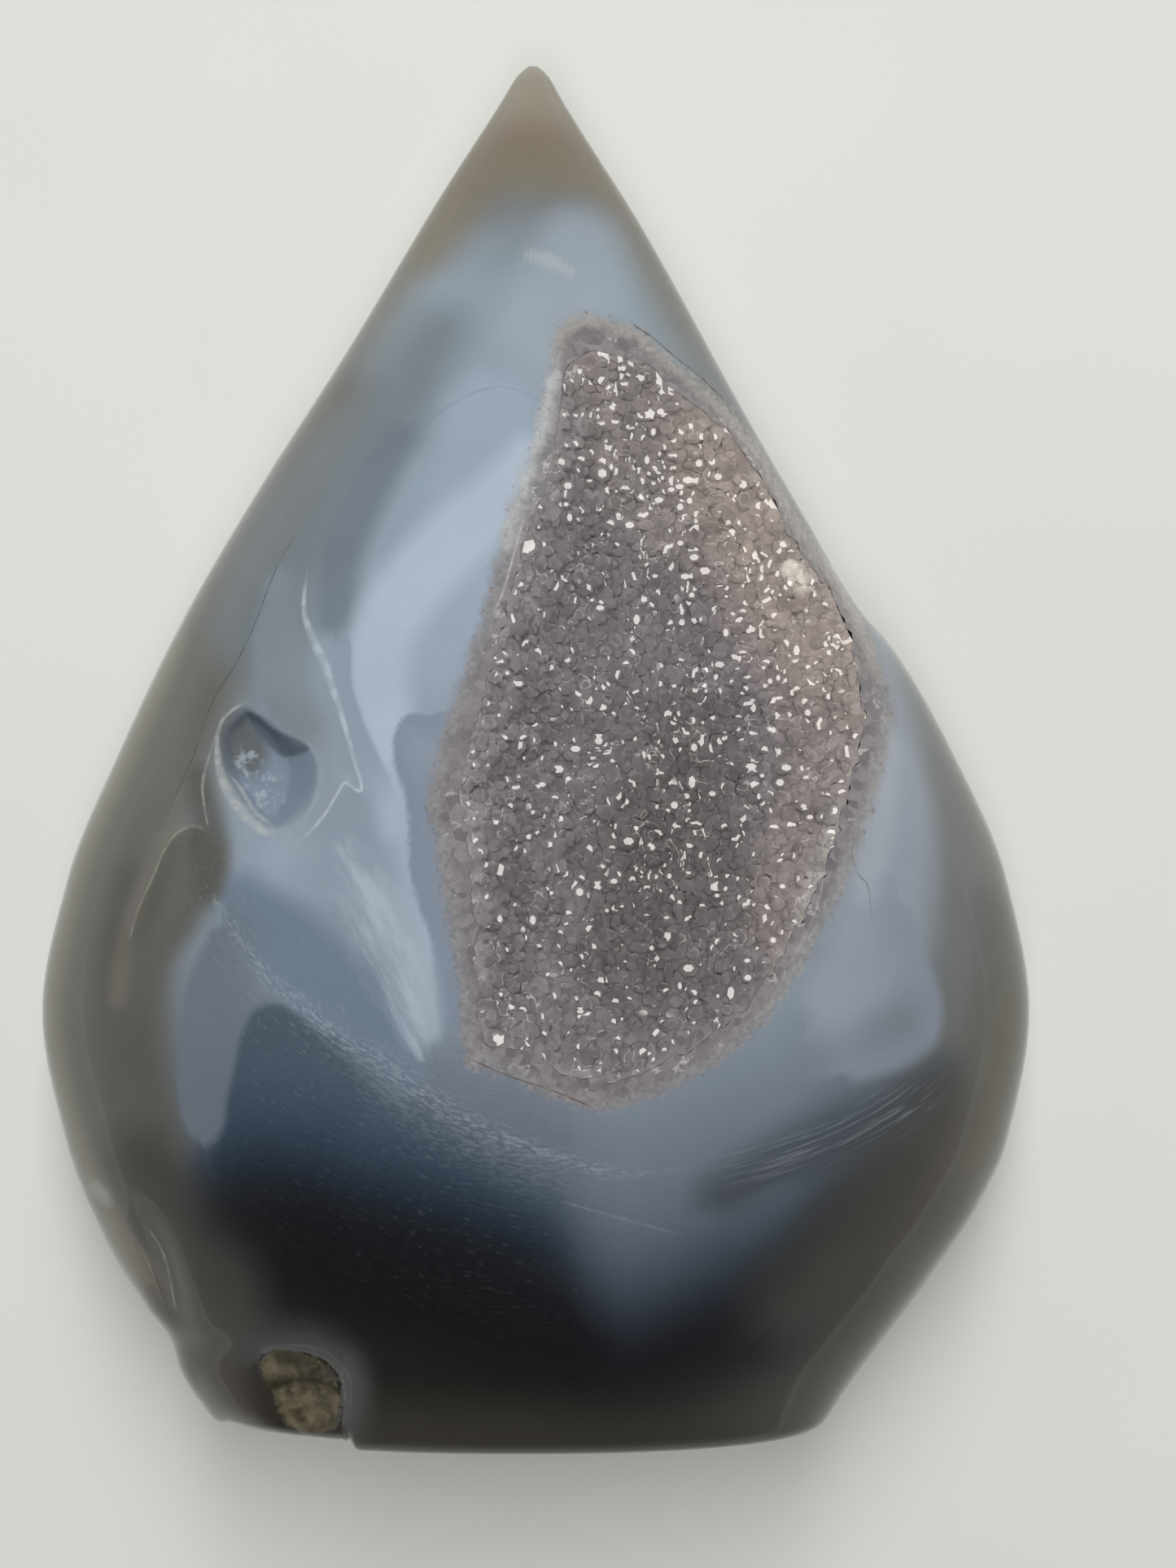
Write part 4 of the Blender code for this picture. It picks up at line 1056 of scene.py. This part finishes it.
def cut_quartz(tree, place, depth_in):
    """(share, colour) of the quartz band, by the depth inside its border: cloudy grains at the border, cut
    crystals further in with a few painted glints among them, and brown specks of iron along the border."""
    grains = noise(tree, place, 0.00045, 4.0, 0.75)
    fray = plus(tree, depth_in, times(tree, calc(tree, "SUBTRACT", grains, 0.5), 2.4))
    clouds = noise(tree, place, 0.0018, 2.0, 0.5)
    level = ease(tree, plus(tree, times(tree, grains, 0.8), times(tree, clouds, 0.4)), 0.40, 0.80)
    quartz = blend(tree, level, attribute(tree, "quartz_dark"), attribute(tree, "quartz_pale"))
    cells = add(tree, "TexVoronoi", {"Vector": place, "Scale": 1.0 / QUARTZ_CELL}).outputs["Color"]
    cell, flash, _ = add(tree, "SeparateXYZ", {0: cells}).outputs
    cut = blend(tree, plus(tree, times(tree, cell, 0.7), times(tree, grains, 0.3)),
                shade((92, 85, 89)), shade((152, 145, 146)))
    # Painted glints: a few pale cut faces in the band.
    painted_glints = times(tree, ease(tree, flash, 0.86, 0.9, 0.0, 0.7), ease(tree, grains, 0.46, 0.56))
    cut = blend(tree, painted_glints, cut, shade((205, 202, 198)))
    quartz = blend(tree, ease(tree, depth_in, 0.6, 1.7, 0.0, 0.8), quartz, cut)
    iron = times(tree, ease(tree, noise(tree, place, 0.0005, 3.0, 0.6), 0.58, 0.63),
                ease(tree, calc(tree, "ABSOLUTE", depth_in), 0.1, 0.7, 1.0, 0.0))
    return ease(tree, fray, -0.5, 0.7), blend(tree, times(tree, iron, 0.65), quartz, shade((92, 72, 56)))


def drawn_lines(tree, place, colour):
    """The colour with both families of fine lines laid over it, each broken up a little by noise: mostly painted
    highlights on crests, a painted shade in the seam and the painted edge of the window's reflection in the bow.
    """
    broken = ease(tree, noise(tree, place, 0.0010, 3.0), 0.40, 0.60, 0.45, 1.0)
    for family in ("first", "second"):
        offset, strength, half = stored(tree, "line_" + family)
        strength = times(tree, strength, broken)
        edge = plus(tree, times(tree, half, 1.5), 0.02)
        line = ease(tree, calc(tree, "ABSOLUTE", offset), times(tree, half, 0.35), edge, 1.0, 0.0)
        colour = blend(tree, times(tree, line, strength), colour, attribute(tree, "tint_" + family))
    return colour


# %% All layers of the polish
def polished_agate():
    """The layers of the polish, each laid over the one before, with their roughness, bumps and clearness."""
    material, tree, shader = new_finish("polished_agate")
    place = add(tree, "TexCoord").outputs["Object"]
    inside, pocket, front = stored(tree, "borders")
    wobble = times(tree, calc(tree, "SUBTRACT", noise(tree, place, 0.0016, 5.0, 0.65), 0.5), 1.5)
    grainy, pitted = pitted_polish(tree, place)
    in_band, quartz = cut_quartz(tree, place, plus(tree, inside, wobble))
    rind_lumps = noise(tree, place, 0.0022, 5.0, 0.6)
    rind = blend(tree, ease(tree, rind_lumps, 0.35, 0.65), shade((68, 62, 49)), shade((114, 107, 86)))
    in_rind = times(tree, ease(tree, plus(tree, pocket, wobble), -0.1, 0.3), front)
    colour = blend(tree, grainy, mottled_tone(tree, place), shade((168, 177, 184)))
    colour = blend(tree, milky_fibres(tree, place), colour, shade((186, 197, 208)))
    colour = blend(tree, times(tree, times(tree, in_band, front), 0.95), colour, quartz)
    colour = blend(tree, in_rind, colour, rind)
    tree.links.new(drawn_lines(tree, place, colour), shader.inputs["Base Color"])
    rough = plus(tree, times(tree, grainy, 0.5), 0.09)
    tree.links.new(calc(tree, "MAXIMUM", rough, times(tree, in_rind, 0.6)), shader.inputs["Roughness"])
    height = plus(tree, times(tree, pitted, 0.6), times(tree, rind_lumps, in_rind))
    bump = add(tree, "Bump", {"Height": height, "Strength": 0.35, "Distance": 0.0003})
    tree.links.new(bump.outputs["Normal"], shader.inputs["Normal"])
    shader.inputs["IOR"].default_value = 1.54
    shader.inputs["Subsurface Weight"].default_value = 0.12
    shader.inputs["Subsurface Radius"].default_value = (0.9, 1.0, 1.2)
    shader.inputs["Subsurface Scale"].default_value = 0.0012
    return material


agate.materials.append(polished_agate())
stone = bpy.data.objects.new("polished_stone", agate)
bpy.context.scene.collection.objects.link(stone)
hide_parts("agate_stone")
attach(stone, "root")
print("polished stone:", len(agate.polygons), "faces")

# %% [markdown]
# ## The bed of the crystals
# Quartz grew inwards from the hollow's wall as a crust. The bed is a second grid on the same columns, thinned
# out: down from the lip along the wall, with small swellings, and a smooth underside that rests in the stone.

# %% Bed of the crust
BED_RINGS = 34
BED_STEP = 2  # every second column of the stone
SWELL = 0.35
TUCK = 0.02  # the bed ends this far inside the lip


def share_in_hollow(x, y):
    """Where a place lies between the middle of the hollow, 0, and the lip, 1."""
    away_x, away_y = x - HOLLOW_CENTRE[0], y - HOLLOW_CENTRE[1]
    angle = np.arctan2(direction[:, 1], direction[:, 0])
    order = np.argsort(angle)
    edge = np.interp(np.arctan2(away_y, away_x), angle[order], lip[order], period=2 * math.pi)
    return np.hypot(away_x, away_y) / edge


def bed_z(x, y):
    """Height of the crystals' bed: the polish less the hollow's depth, plus swellings away from the lip."""
    share = share_in_hollow(x, y)
    swell = SWELL * (lumps(x, y, 9.0, 5) + 0.6 * lumps(x, y, 3.6, 6)) * smooth(1.0, 0.8, share)
    return front_z(x, y, marks=False) - bed_depth(x, y, share) + swell


def bed_slope(x, y, step):
    """Slopes of the bed along X and Y between places this far to each side, at most 45 degrees."""
    along_x = (bed_z(x + step, y) - bed_z(x - step, y)) / (2 * step)
    along_y = (bed_z(x, y + step) - bed_z(x, y - step)) / (2 * step)
    return np.clip(along_x, -1, 1), np.clip(along_y, -1, 1)


def bed_grid():
    """(points, faces) of the closed bed: the top from the middle to the lip, then the underside back in."""
    rim = (lip - TUCK)[::BED_STEP]
    spoke = direction[::BED_STEP]
    rows = []
    for share in 1 - (1 - np.linspace(0, 1, BED_RINGS)[1:]) ** 1.3:
        x, y = (HOLLOW_CENTRE + spoke * (rim * share)[:, None]).T
        rows.append((x, y, bed_z(x, y) - 0.05))
    for share in (1.0, 0.6, 0.25):
        x, y = (HOLLOW_CENTRE + spoke * (rim * share)[:, None]).T
        under = front_z(x, y, marks=False) - bed_depth(x, y, share) - CRUST_THICKNESS
        rows.append((x, y, under))
    grid = np.array(rows).transpose(0, 2, 1)
    numbers = np.arange(grid.shape[0] * grid.shape[1]).reshape(grid.shape[:2])
    top = bed_z(*HOLLOW_CENTRE[:, None])[0]
    points = np.vstack([grid.reshape(-1, 3), [[*HOLLOW_CENTRE, top], [*HOLLOW_CENTRE, top - CRUST_THICKNESS]]])
    faces = faces_between(numbers)
    faces += fan(numbers[0], numbers.size, inward=True) + fan(numbers[-1], numbers.size + 1)
    return points, faces


bed_points, bed_faces = bed_grid()
print("bed:", len(bed_points), "points")

# %% [markdown]
# ## The crystals
# A quartz point is a six-sided prism with six faces that close it like a roof. Copies of one crystal could be
# scattered as instances, but every crystal must be cut off where it would stand above the polish, so they are
# all worked out as one array: a template of four six-cornered rings, stretched, sheared, leaned and turned by
# random amounts, and set down on the bed. Stretching and shearing keep every face flat, so each one still
# flashes as a whole, as a real facet does.

# %% The crystals
SPACING = 0.92
JITTER = 0.36
USUAL_RADIUS = 0.58
RADIUS_SPREAD = 0.26  # of the radius's logarithm
LARGEST_RADIUS = 0.86
LEAN_SPREAD = 0.36
RING_RADIUS = np.array([0.95, 1.0, 0.84, 0.46])
RING_HEIGHT = np.array([-0.9, 0.2, 0.60, 0.86])
CLEAR_OF_POLISH = 0.02
draw = np.random.default_rng(21)


def crystal_places():
    """(x, y) of the crystals: a honeycomb, each moved at random, kept where it lies inside the lip."""
    i, j = np.meshgrid(np.arange(-45, 46), np.arange(-50, 51))
    x = HOLLOW_CENTRE[0] + SPACING * (i + 0.5 * (j % 2))
    y = HOLLOW_CENTRE[1] + SPACING * j * math.sqrt(3) / 2
    x, y = x.ravel() + draw.uniform(-JITTER, JITTER, x.size), y.ravel() + draw.uniform(-JITTER, JITTER, y.size)
    kept = share_in_hollow(x, y) < 0.985
    return x[kept], y[kept]


def crystal_arrays(x, y):
    """Corners of every crystal as (crystals, rings, 6, 3). Local Z is the crystal's axis."""
    count = len(x)
    radius = np.minimum(USUAL_RADIUS * np.exp(draw.normal(0, RADIUS_SPREAD, count)), LARGEST_RADIUS)
    height = radius * draw.uniform(0.5, 1.05, count)
    twist = draw.uniform(0, 2 * math.pi, count)
    angle = twist[:, None] + np.arange(6) * math.pi / 3
    stretch = draw.uniform(0.72, 1.3, (count, 1, 1))
    local_x = RING_RADIUS[None, :, None] * np.cos(angle)[:, None, :] * stretch
    local_y = RING_RADIUS[None, :, None] * np.sin(angle)[:, None, :] / stretch
    local_z = np.broadcast_to(RING_HEIGHT[None, :, None], local_x.shape) * (height / radius)[:, None, None]
    shear = draw.uniform(-0.35, 0.35, (2, count, 1, 1))
    local_x, local_y = local_x + shear[0] * local_z, local_y + shear[1] * local_z
    local = np.stack([local_x, local_y, local_z], axis=-1) * radius[:, None, None, None]
    slope_x, slope_y = bed_slope(x, y, 0.4)
    lean = draw.normal(0, LEAN_SPREAD, (2, count))
    axis = np.stack([-0.6 * slope_x + lean[0], -0.6 * slope_y + lean[1], np.ones(count)], axis=-1)
    axis /= np.linalg.norm(axis, axis=1, keepdims=True)
    side = np.cross(axis, np.array([0.0, 1.0, 0.0]))
    side /= np.linalg.norm(side, axis=1, keepdims=True)
    across = np.cross(axis, side)
    turned = local[..., 0:1] * side[:, None, None] + local[..., 1:2] * across[:, None, None]
    turned = turned + local[..., 2:3] * axis[:, None, None]
    return turned + np.stack([x, y, bed_z(x, y)], axis=-1)[:, None, None]


def crystal_faces(count, start):
    """Faces of every crystal, numbered from start: three belts of six quads, a top and a bottom."""
    ring_numbers = np.arange(24).reshape(4, 6)
    template = faces_between(ring_numbers)
    first = (start + ring_numbers.size * np.arange(count))[:, None, None]
    belts = np.array(template)[None] + first
    caps = np.stack([ring_numbers[3], ring_numbers[0][::-1]])[None] + first
    return belts.reshape(-1, 4).tolist() + caps.reshape(-1, 6).tolist()


crystal_x, crystal_y = crystal_places()
crystals = crystal_arrays(crystal_x, crystal_y)
corners = crystals.reshape(-1, 3)
polish = front_z(corners[:, 0], corners[:, 1], marks=False) - CLEAR_OF_POLISH
corner_share = share_in_hollow(corners[:, 0], corners[:, 1])
pull = np.minimum(1.0, 1.0 / np.maximum(corner_share, 1e-6))[:, None]
corners[:, :2] = HOLLOW_CENTRE + (corners[:, :2] - HOLLOW_CENTRE) * pull
corners[:, 2] = np.minimum(corners[:, 2], polish)
print(len(crystals), "crystals")

# %% [markdown]
# ## Tones of the crust
# The crystals are clear grey quartz with a breath of purple. The crust is painted darkest in the hollow's deep
# middle, a painted shade of its depth, paler along the rim, and brown to the right where iron has stained them.
# Each crystal and each facet also differs a little, as its inside sends the light another way.

# %% Crust mesh and its tones
crust_points = np.vstack([bed_points, corners])
crust_faces = bed_faces + crystal_faces(len(crystals), len(bed_points))
crust = make_mesh("quartz_crust", crust_points, crust_faces)
CRUST_GROUND = (106, 99, 103)
CRUST_STROKES = {
    "upper part": ((124, 117, 116), 0.9, 8.0, 8.0, ((8.0, 31.0, 2.0), (10.0, 25.0, 3.0), (12.0, 20.0, 1.0))),
    # Painted shade: the crust is darker in the hollow's deep middle.
    "deep middle": ((84, 78, 79), 0.85, 7.0, 7.0, ((12.5, -1.0, 0.5), (11.0, -9.0, 2.0), (8.5, -16.5, 1.5))),
    "iron stain": ((148, 136, 128), 0.85, 7.0, 7.0, ((16.0, 24.0, 1.0), (21.0, 15.0, 2.5), (25.5, 7.0, 2.5))),
    "brown right": ((136, 127, 124), 0.75, 5.0, 5.0, ((24.5, 2.0, 1.0), (23.4, -6.0, 1.5), (19.6, -14.0, 0.5))),
    "purple left": ((105, 99, 105), 0.6, 4.0, 4.0, ((-1.0, 12.0, 1.0), (-2.0, 0.0, 1.5), (-1.0, -14.0, 1.5))),
    "pale rim left": ((136, 132, 134), 0.75, 2.6, 2.6, ((2.5, 26.0, 0.4), (0.8, 19.0, 0.6), (-3.4, 6.0, 0.6),
                                                        (-5.4, -6.0, 0.6), (-5.0, -18.0, 0.4))),
    "pale rim below": ((112, 109, 110), 0.7, 2.2, 2.2, ((-4.4, -21.0, 0.3), (0.0, -24.6, 0.3), (5.0, -26.6, 0.3))),
    "pale lower lip": ((154, 150, 146), 0.75, 1.8, 1.8, ((24.4, -6.0, 0.2), (23.0, -10.6, 0.5), (21.6, -15.0, 0.5),
                                                         (19.6, -18.4, 0.2))),
    "white patch": ((214, 208, 198), 0.95, 0.7, 0.7, ((21.0, 14.1, 0.5), (21.5, 13.2, 0.5))),
}


def crust_tone(x, y):
    """Colour of the crust, 0 to 255: one ground tone and a few broad soft strokes."""
    tone = np.tile(np.array(CRUST_GROUND, float), (len(x), 1))
    for stroke in CRUST_STROKES.values():
        tone = lay_stroke(tone, x, y, *stroke)
    return tone


ring_levels = np.tile(np.repeat([0.0, 0.35, 0.75, 1.0], 6), len(crystals))
heights = np.concatenate([np.zeros(len(bed_points)), ring_levels])
per_crystal = np.concatenate([np.full(len(bed_points), 0.5), np.repeat(draw.uniform(0, 1, len(crystals)), 24)])
per_facet = draw.uniform(0, 1, len(crust.polygons))
give(crust, "tone", opaque(crust_tone(*crust_points[:, :2].T)), "FLOAT_COLOR")
give(crust, "crystal", np.column_stack([heights, per_crystal, np.zeros(len(crust_points))]))
give(crust, "facet", per_facet, "FLOAT", "FACE")
slope_x, slope_y = bed_slope(*crust_points[:, :2].T, 0.6)
bed_normals = np.column_stack([-0.5 * slope_x, -0.5 * slope_y, np.ones(len(crust_points))])
give(crust, "bed_normal", bed_normals / np.linalg.norm(bed_normals, axis=1, keepdims=True))


# %% [markdown]
# ## Druzy quartz
# A facet is as smooth as glass. Some light goes in, wanders through several crystals and comes out again greyer
# and almost evenly, so the base is shaded mostly with the direction of the bed. The surface mirrors the rest,
# so a facet that faces halfway between a lamp and the eye turns white, and its neighbour stays dark. A clear
# coat with the true direction of each facet does that.

# %% Druzy quartz
BED_SHARE = 0.7  # how much of the base's direction comes from the bed


def druzy_quartz():
    """Furrows painted a little lighter than the tips, a painted fill light against their shade; a different
    clearness for each crystal and facet; thin painted highlights in curved lines; all under a glassy coat.
    """
    material, tree, shader = new_finish("druzy_quartz")
    place = add(tree, "TexCoord").outputs["Object"]
    height, crystal, _ = stored(tree, "crystal")
    # Painted fill light: the furrows, at height 0, are painted a little lighter than the tips against the shade in
    # them.
    level = plus(tree, times(tree, height, -0.06), 0.45)
    for clearness in (crystal, attribute(tree, "facet", "Fac")):
        level = plus(tree, level, times(tree, clearness, 0.20))
    level = times(tree, level, ease(tree, noise(tree, place, 0.0022, 3.0), 0.3, 0.7, 0.86, 1.14))
    colour = blend(tree, 1.0, attribute(tree, "tone"), grey(tree, level), "MULTIPLY")
    # Painted highlights: thin bright curved lines, where rounded crystal edges catch the light.
    fine = calc(tree, "ABSOLUTE", calc(tree, "SUBTRACT", noise(tree, place, 0.0016, 1.0), 0.5))
    bright_edge_lines = times(tree, ease(tree, fine, 0.004, 0.012, 1.0, 0.0),
                 ease(tree, noise(tree, place, 0.0035, 1.0), 0.52, 0.60))
    colour = blend(tree, times(tree, bright_edge_lines, 0.34), colour, shade((190, 186, 184)))
    tree.links.new(colour, shader.inputs["Base Color"])
    bed = add(tree, "VectorTransform", {0: attribute(tree, "bed_normal", "Vector")},
              vector_type="NORMAL", convert_from="OBJECT", convert_to="WORLD").outputs[0]
    soft = add(tree, "Mix", {"Factor": BED_SHARE}, data_type="VECTOR")
    tree.links.new(add(tree, "NewGeometry").outputs["Normal"], soft.inputs[4])
    tree.links.new(bed, soft.inputs[5])
    tree.links.new(add(tree, "VectorMath", {0: soft.outputs[1]}, operation="NORMALIZE").outputs[0],
                   shader.inputs["Normal"])
    shader.inputs["Roughness"].default_value = 0.45
    shader.inputs["IOR"].default_value = 1.4
    shader.inputs["Coat Weight"].default_value = 1.0
    shader.inputs["Coat Roughness"].default_value = 0.03
    shader.inputs["Coat IOR"].default_value = 1.8
    return material


crust.materials.append(druzy_quartz())
quartz_crust = bpy.data.objects.new("quartz_crust", crust)
bpy.context.scene.collection.objects.link(quartz_crust)
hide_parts("druzy_crust")
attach(quartz_crust, "root")
print("crust:", len(crust.polygons), "faces")

# %% [markdown]
# ## Floor, light and camera
# The stone lies on white paper under a soft window light from beyond its point, so its shadow falls softly round
# the foot. The sky is pale at the horizon and dark overhead, where the camera and whoever holds it would be:
# the middle of the polished dome mirrors that and stays deep in colour. Five small soft lamps shine only on
# the crystals, and make the facets that face them flash.

# %% Floor
def paper():
    """Matt white paper with faint clouds. Further out, where the lamp hardly reaches, it glows as brightly as it
    is lit near the stone, so that its reflection in the stone's rim has no dark line at the horizon."""
    material, tree, shader = new_finish("white_paper")
    place = add(tree, "TexCoord").outputs["Object"]
    cloud = ease(tree, noise(tree, place, 0.05, 2.0), 0.3, 0.7)
    colour = blend(tree, cloud, (0.80, 0.81, 0.765), (0.82, 0.83, 0.785))
    tree.links.new(colour, shader.inputs["Base Color"])
    away = add(tree, "VectorMath", {0: place}, operation="LENGTH").outputs["Value"]
    shader.inputs["Emission Color"].default_value = (0.98, 1.0, 0.96, 1.0)
    tree.links.new(ease(tree, away, 0.10, 0.8, 0.0, 0.6), shader.inputs["Emission Strength"])
    shader.inputs["Roughness"].default_value = 0.8
    shader.inputs["Specular IOR Level"].default_value = 0.2
    return material


FLOOR_HALF = 1.6
sheet = bpy.data.meshes.new("floor")
sheet.from_pydata([(-FLOOR_HALF, -FLOOR_HALF, 0), (FLOOR_HALF, -FLOOR_HALF, 0), (FLOOR_HALF, FLOOR_HALF, 0),
                   (-FLOOR_HALF, FLOOR_HALF, 0)], [], [(0, 1, 2, 3)])
sheet.materials.append(paper())
floor = bpy.data.objects.new("floor", sheet)
bpy.context.scene.collection.objects.link(floor)


# %% Lamps
def softbox(name, azimuth, elevation, distance, size, power, only=None):
    """A flat lamp, this wide and long, that faces the stone from this azimuth from +X and this elevation."""
    lamp = bpy.data.lights.new(name, "AREA")
    lamp.shape = "RECTANGLE"
    lamp.size, lamp.size_y = size
    lamp.energy = power
    made = bpy.data.objects.new(name, lamp)
    turn, rise = math.radians(azimuth), math.radians(elevation)
    made.location = (
        distance * math.cos(rise) * math.cos(turn),
        distance * math.cos(rise) * math.sin(turn),
        distance * math.sin(rise),
    )
    made.rotation_euler = (math.pi / 2 - rise, 0, turn + math.pi / 2)
    made.visible_camera = False
    bpy.context.scene.collection.objects.link(made)
    if only is not None:
        made.light_linking.receiver_collection = only
    return made


LAMP_DISTANCE = 0.6
WINDOW_POWER = 3.8
SPARKLE_POWER = 0.66
SPARKLES = ((75, 60), (150, 66), (205, 54), (300, 62), (10, 52))  # azimuth and elevation of each small lamp

window = softbox("window", 88, 75, LAMP_DISTANCE, (0.16, 0.85), WINDOW_POWER)
window.visible_glossy = False
druzy_only = bpy.data.collections.new("druzy_only")
druzy_only.objects.link(quartz_crust)
for azimuth, elevation in SPARKLES:
    glint = softbox("sparkle", azimuth, elevation, LAMP_DISTANCE, (0.18, 0.18), SPARKLE_POWER, druzy_only)
    glint.data.color = (1.0, 0.97, 0.92)
print("lamps: a window and", len(SPARKLES), "sparkles on the crust")


# %% Sky
def sky():
    """Radiance as a product: one factor falls from the horizon to overhead, one rises towards the window."""
    world = bpy.data.worlds.new("studio")
    bpy.context.scene.world = world
    world.use_nodes = True
    tree = world.node_tree
    ray = add(tree, "SeparateXYZ", {0: add(tree, "TexCoord").outputs["Generated"]}).outputs
    level = ease(tree, ray[2], 0.0, 0.75, 0.50, 0.02)
    level = times(tree, level, ease(tree, ray[1], -0.8, 0.7, 0.85, 1.15))
    background = tree.nodes["Background"]
    tree.links.new(grey(tree, level), background.inputs["Color"])
    background.inputs["Strength"].default_value = 1.0


sky()
bpy.context.scene.view_settings.view_transform = "Standard"

# %% Camera
CAMERA_AT = (4.37, -3.41, WAIST + 250.0)
LENS = 67.9
camera_data = bpy.data.cameras.new("camera")
camera_data.lens = LENS
camera_data.sensor_width = 36.0
camera_data.clip_start = 0.01
camera = bpy.data.objects.new("camera", camera_data)
camera.location = [place * MM for place in CAMERA_AT]
bpy.context.scene.collection.objects.link(camera)
bpy.context.scene.camera = camera
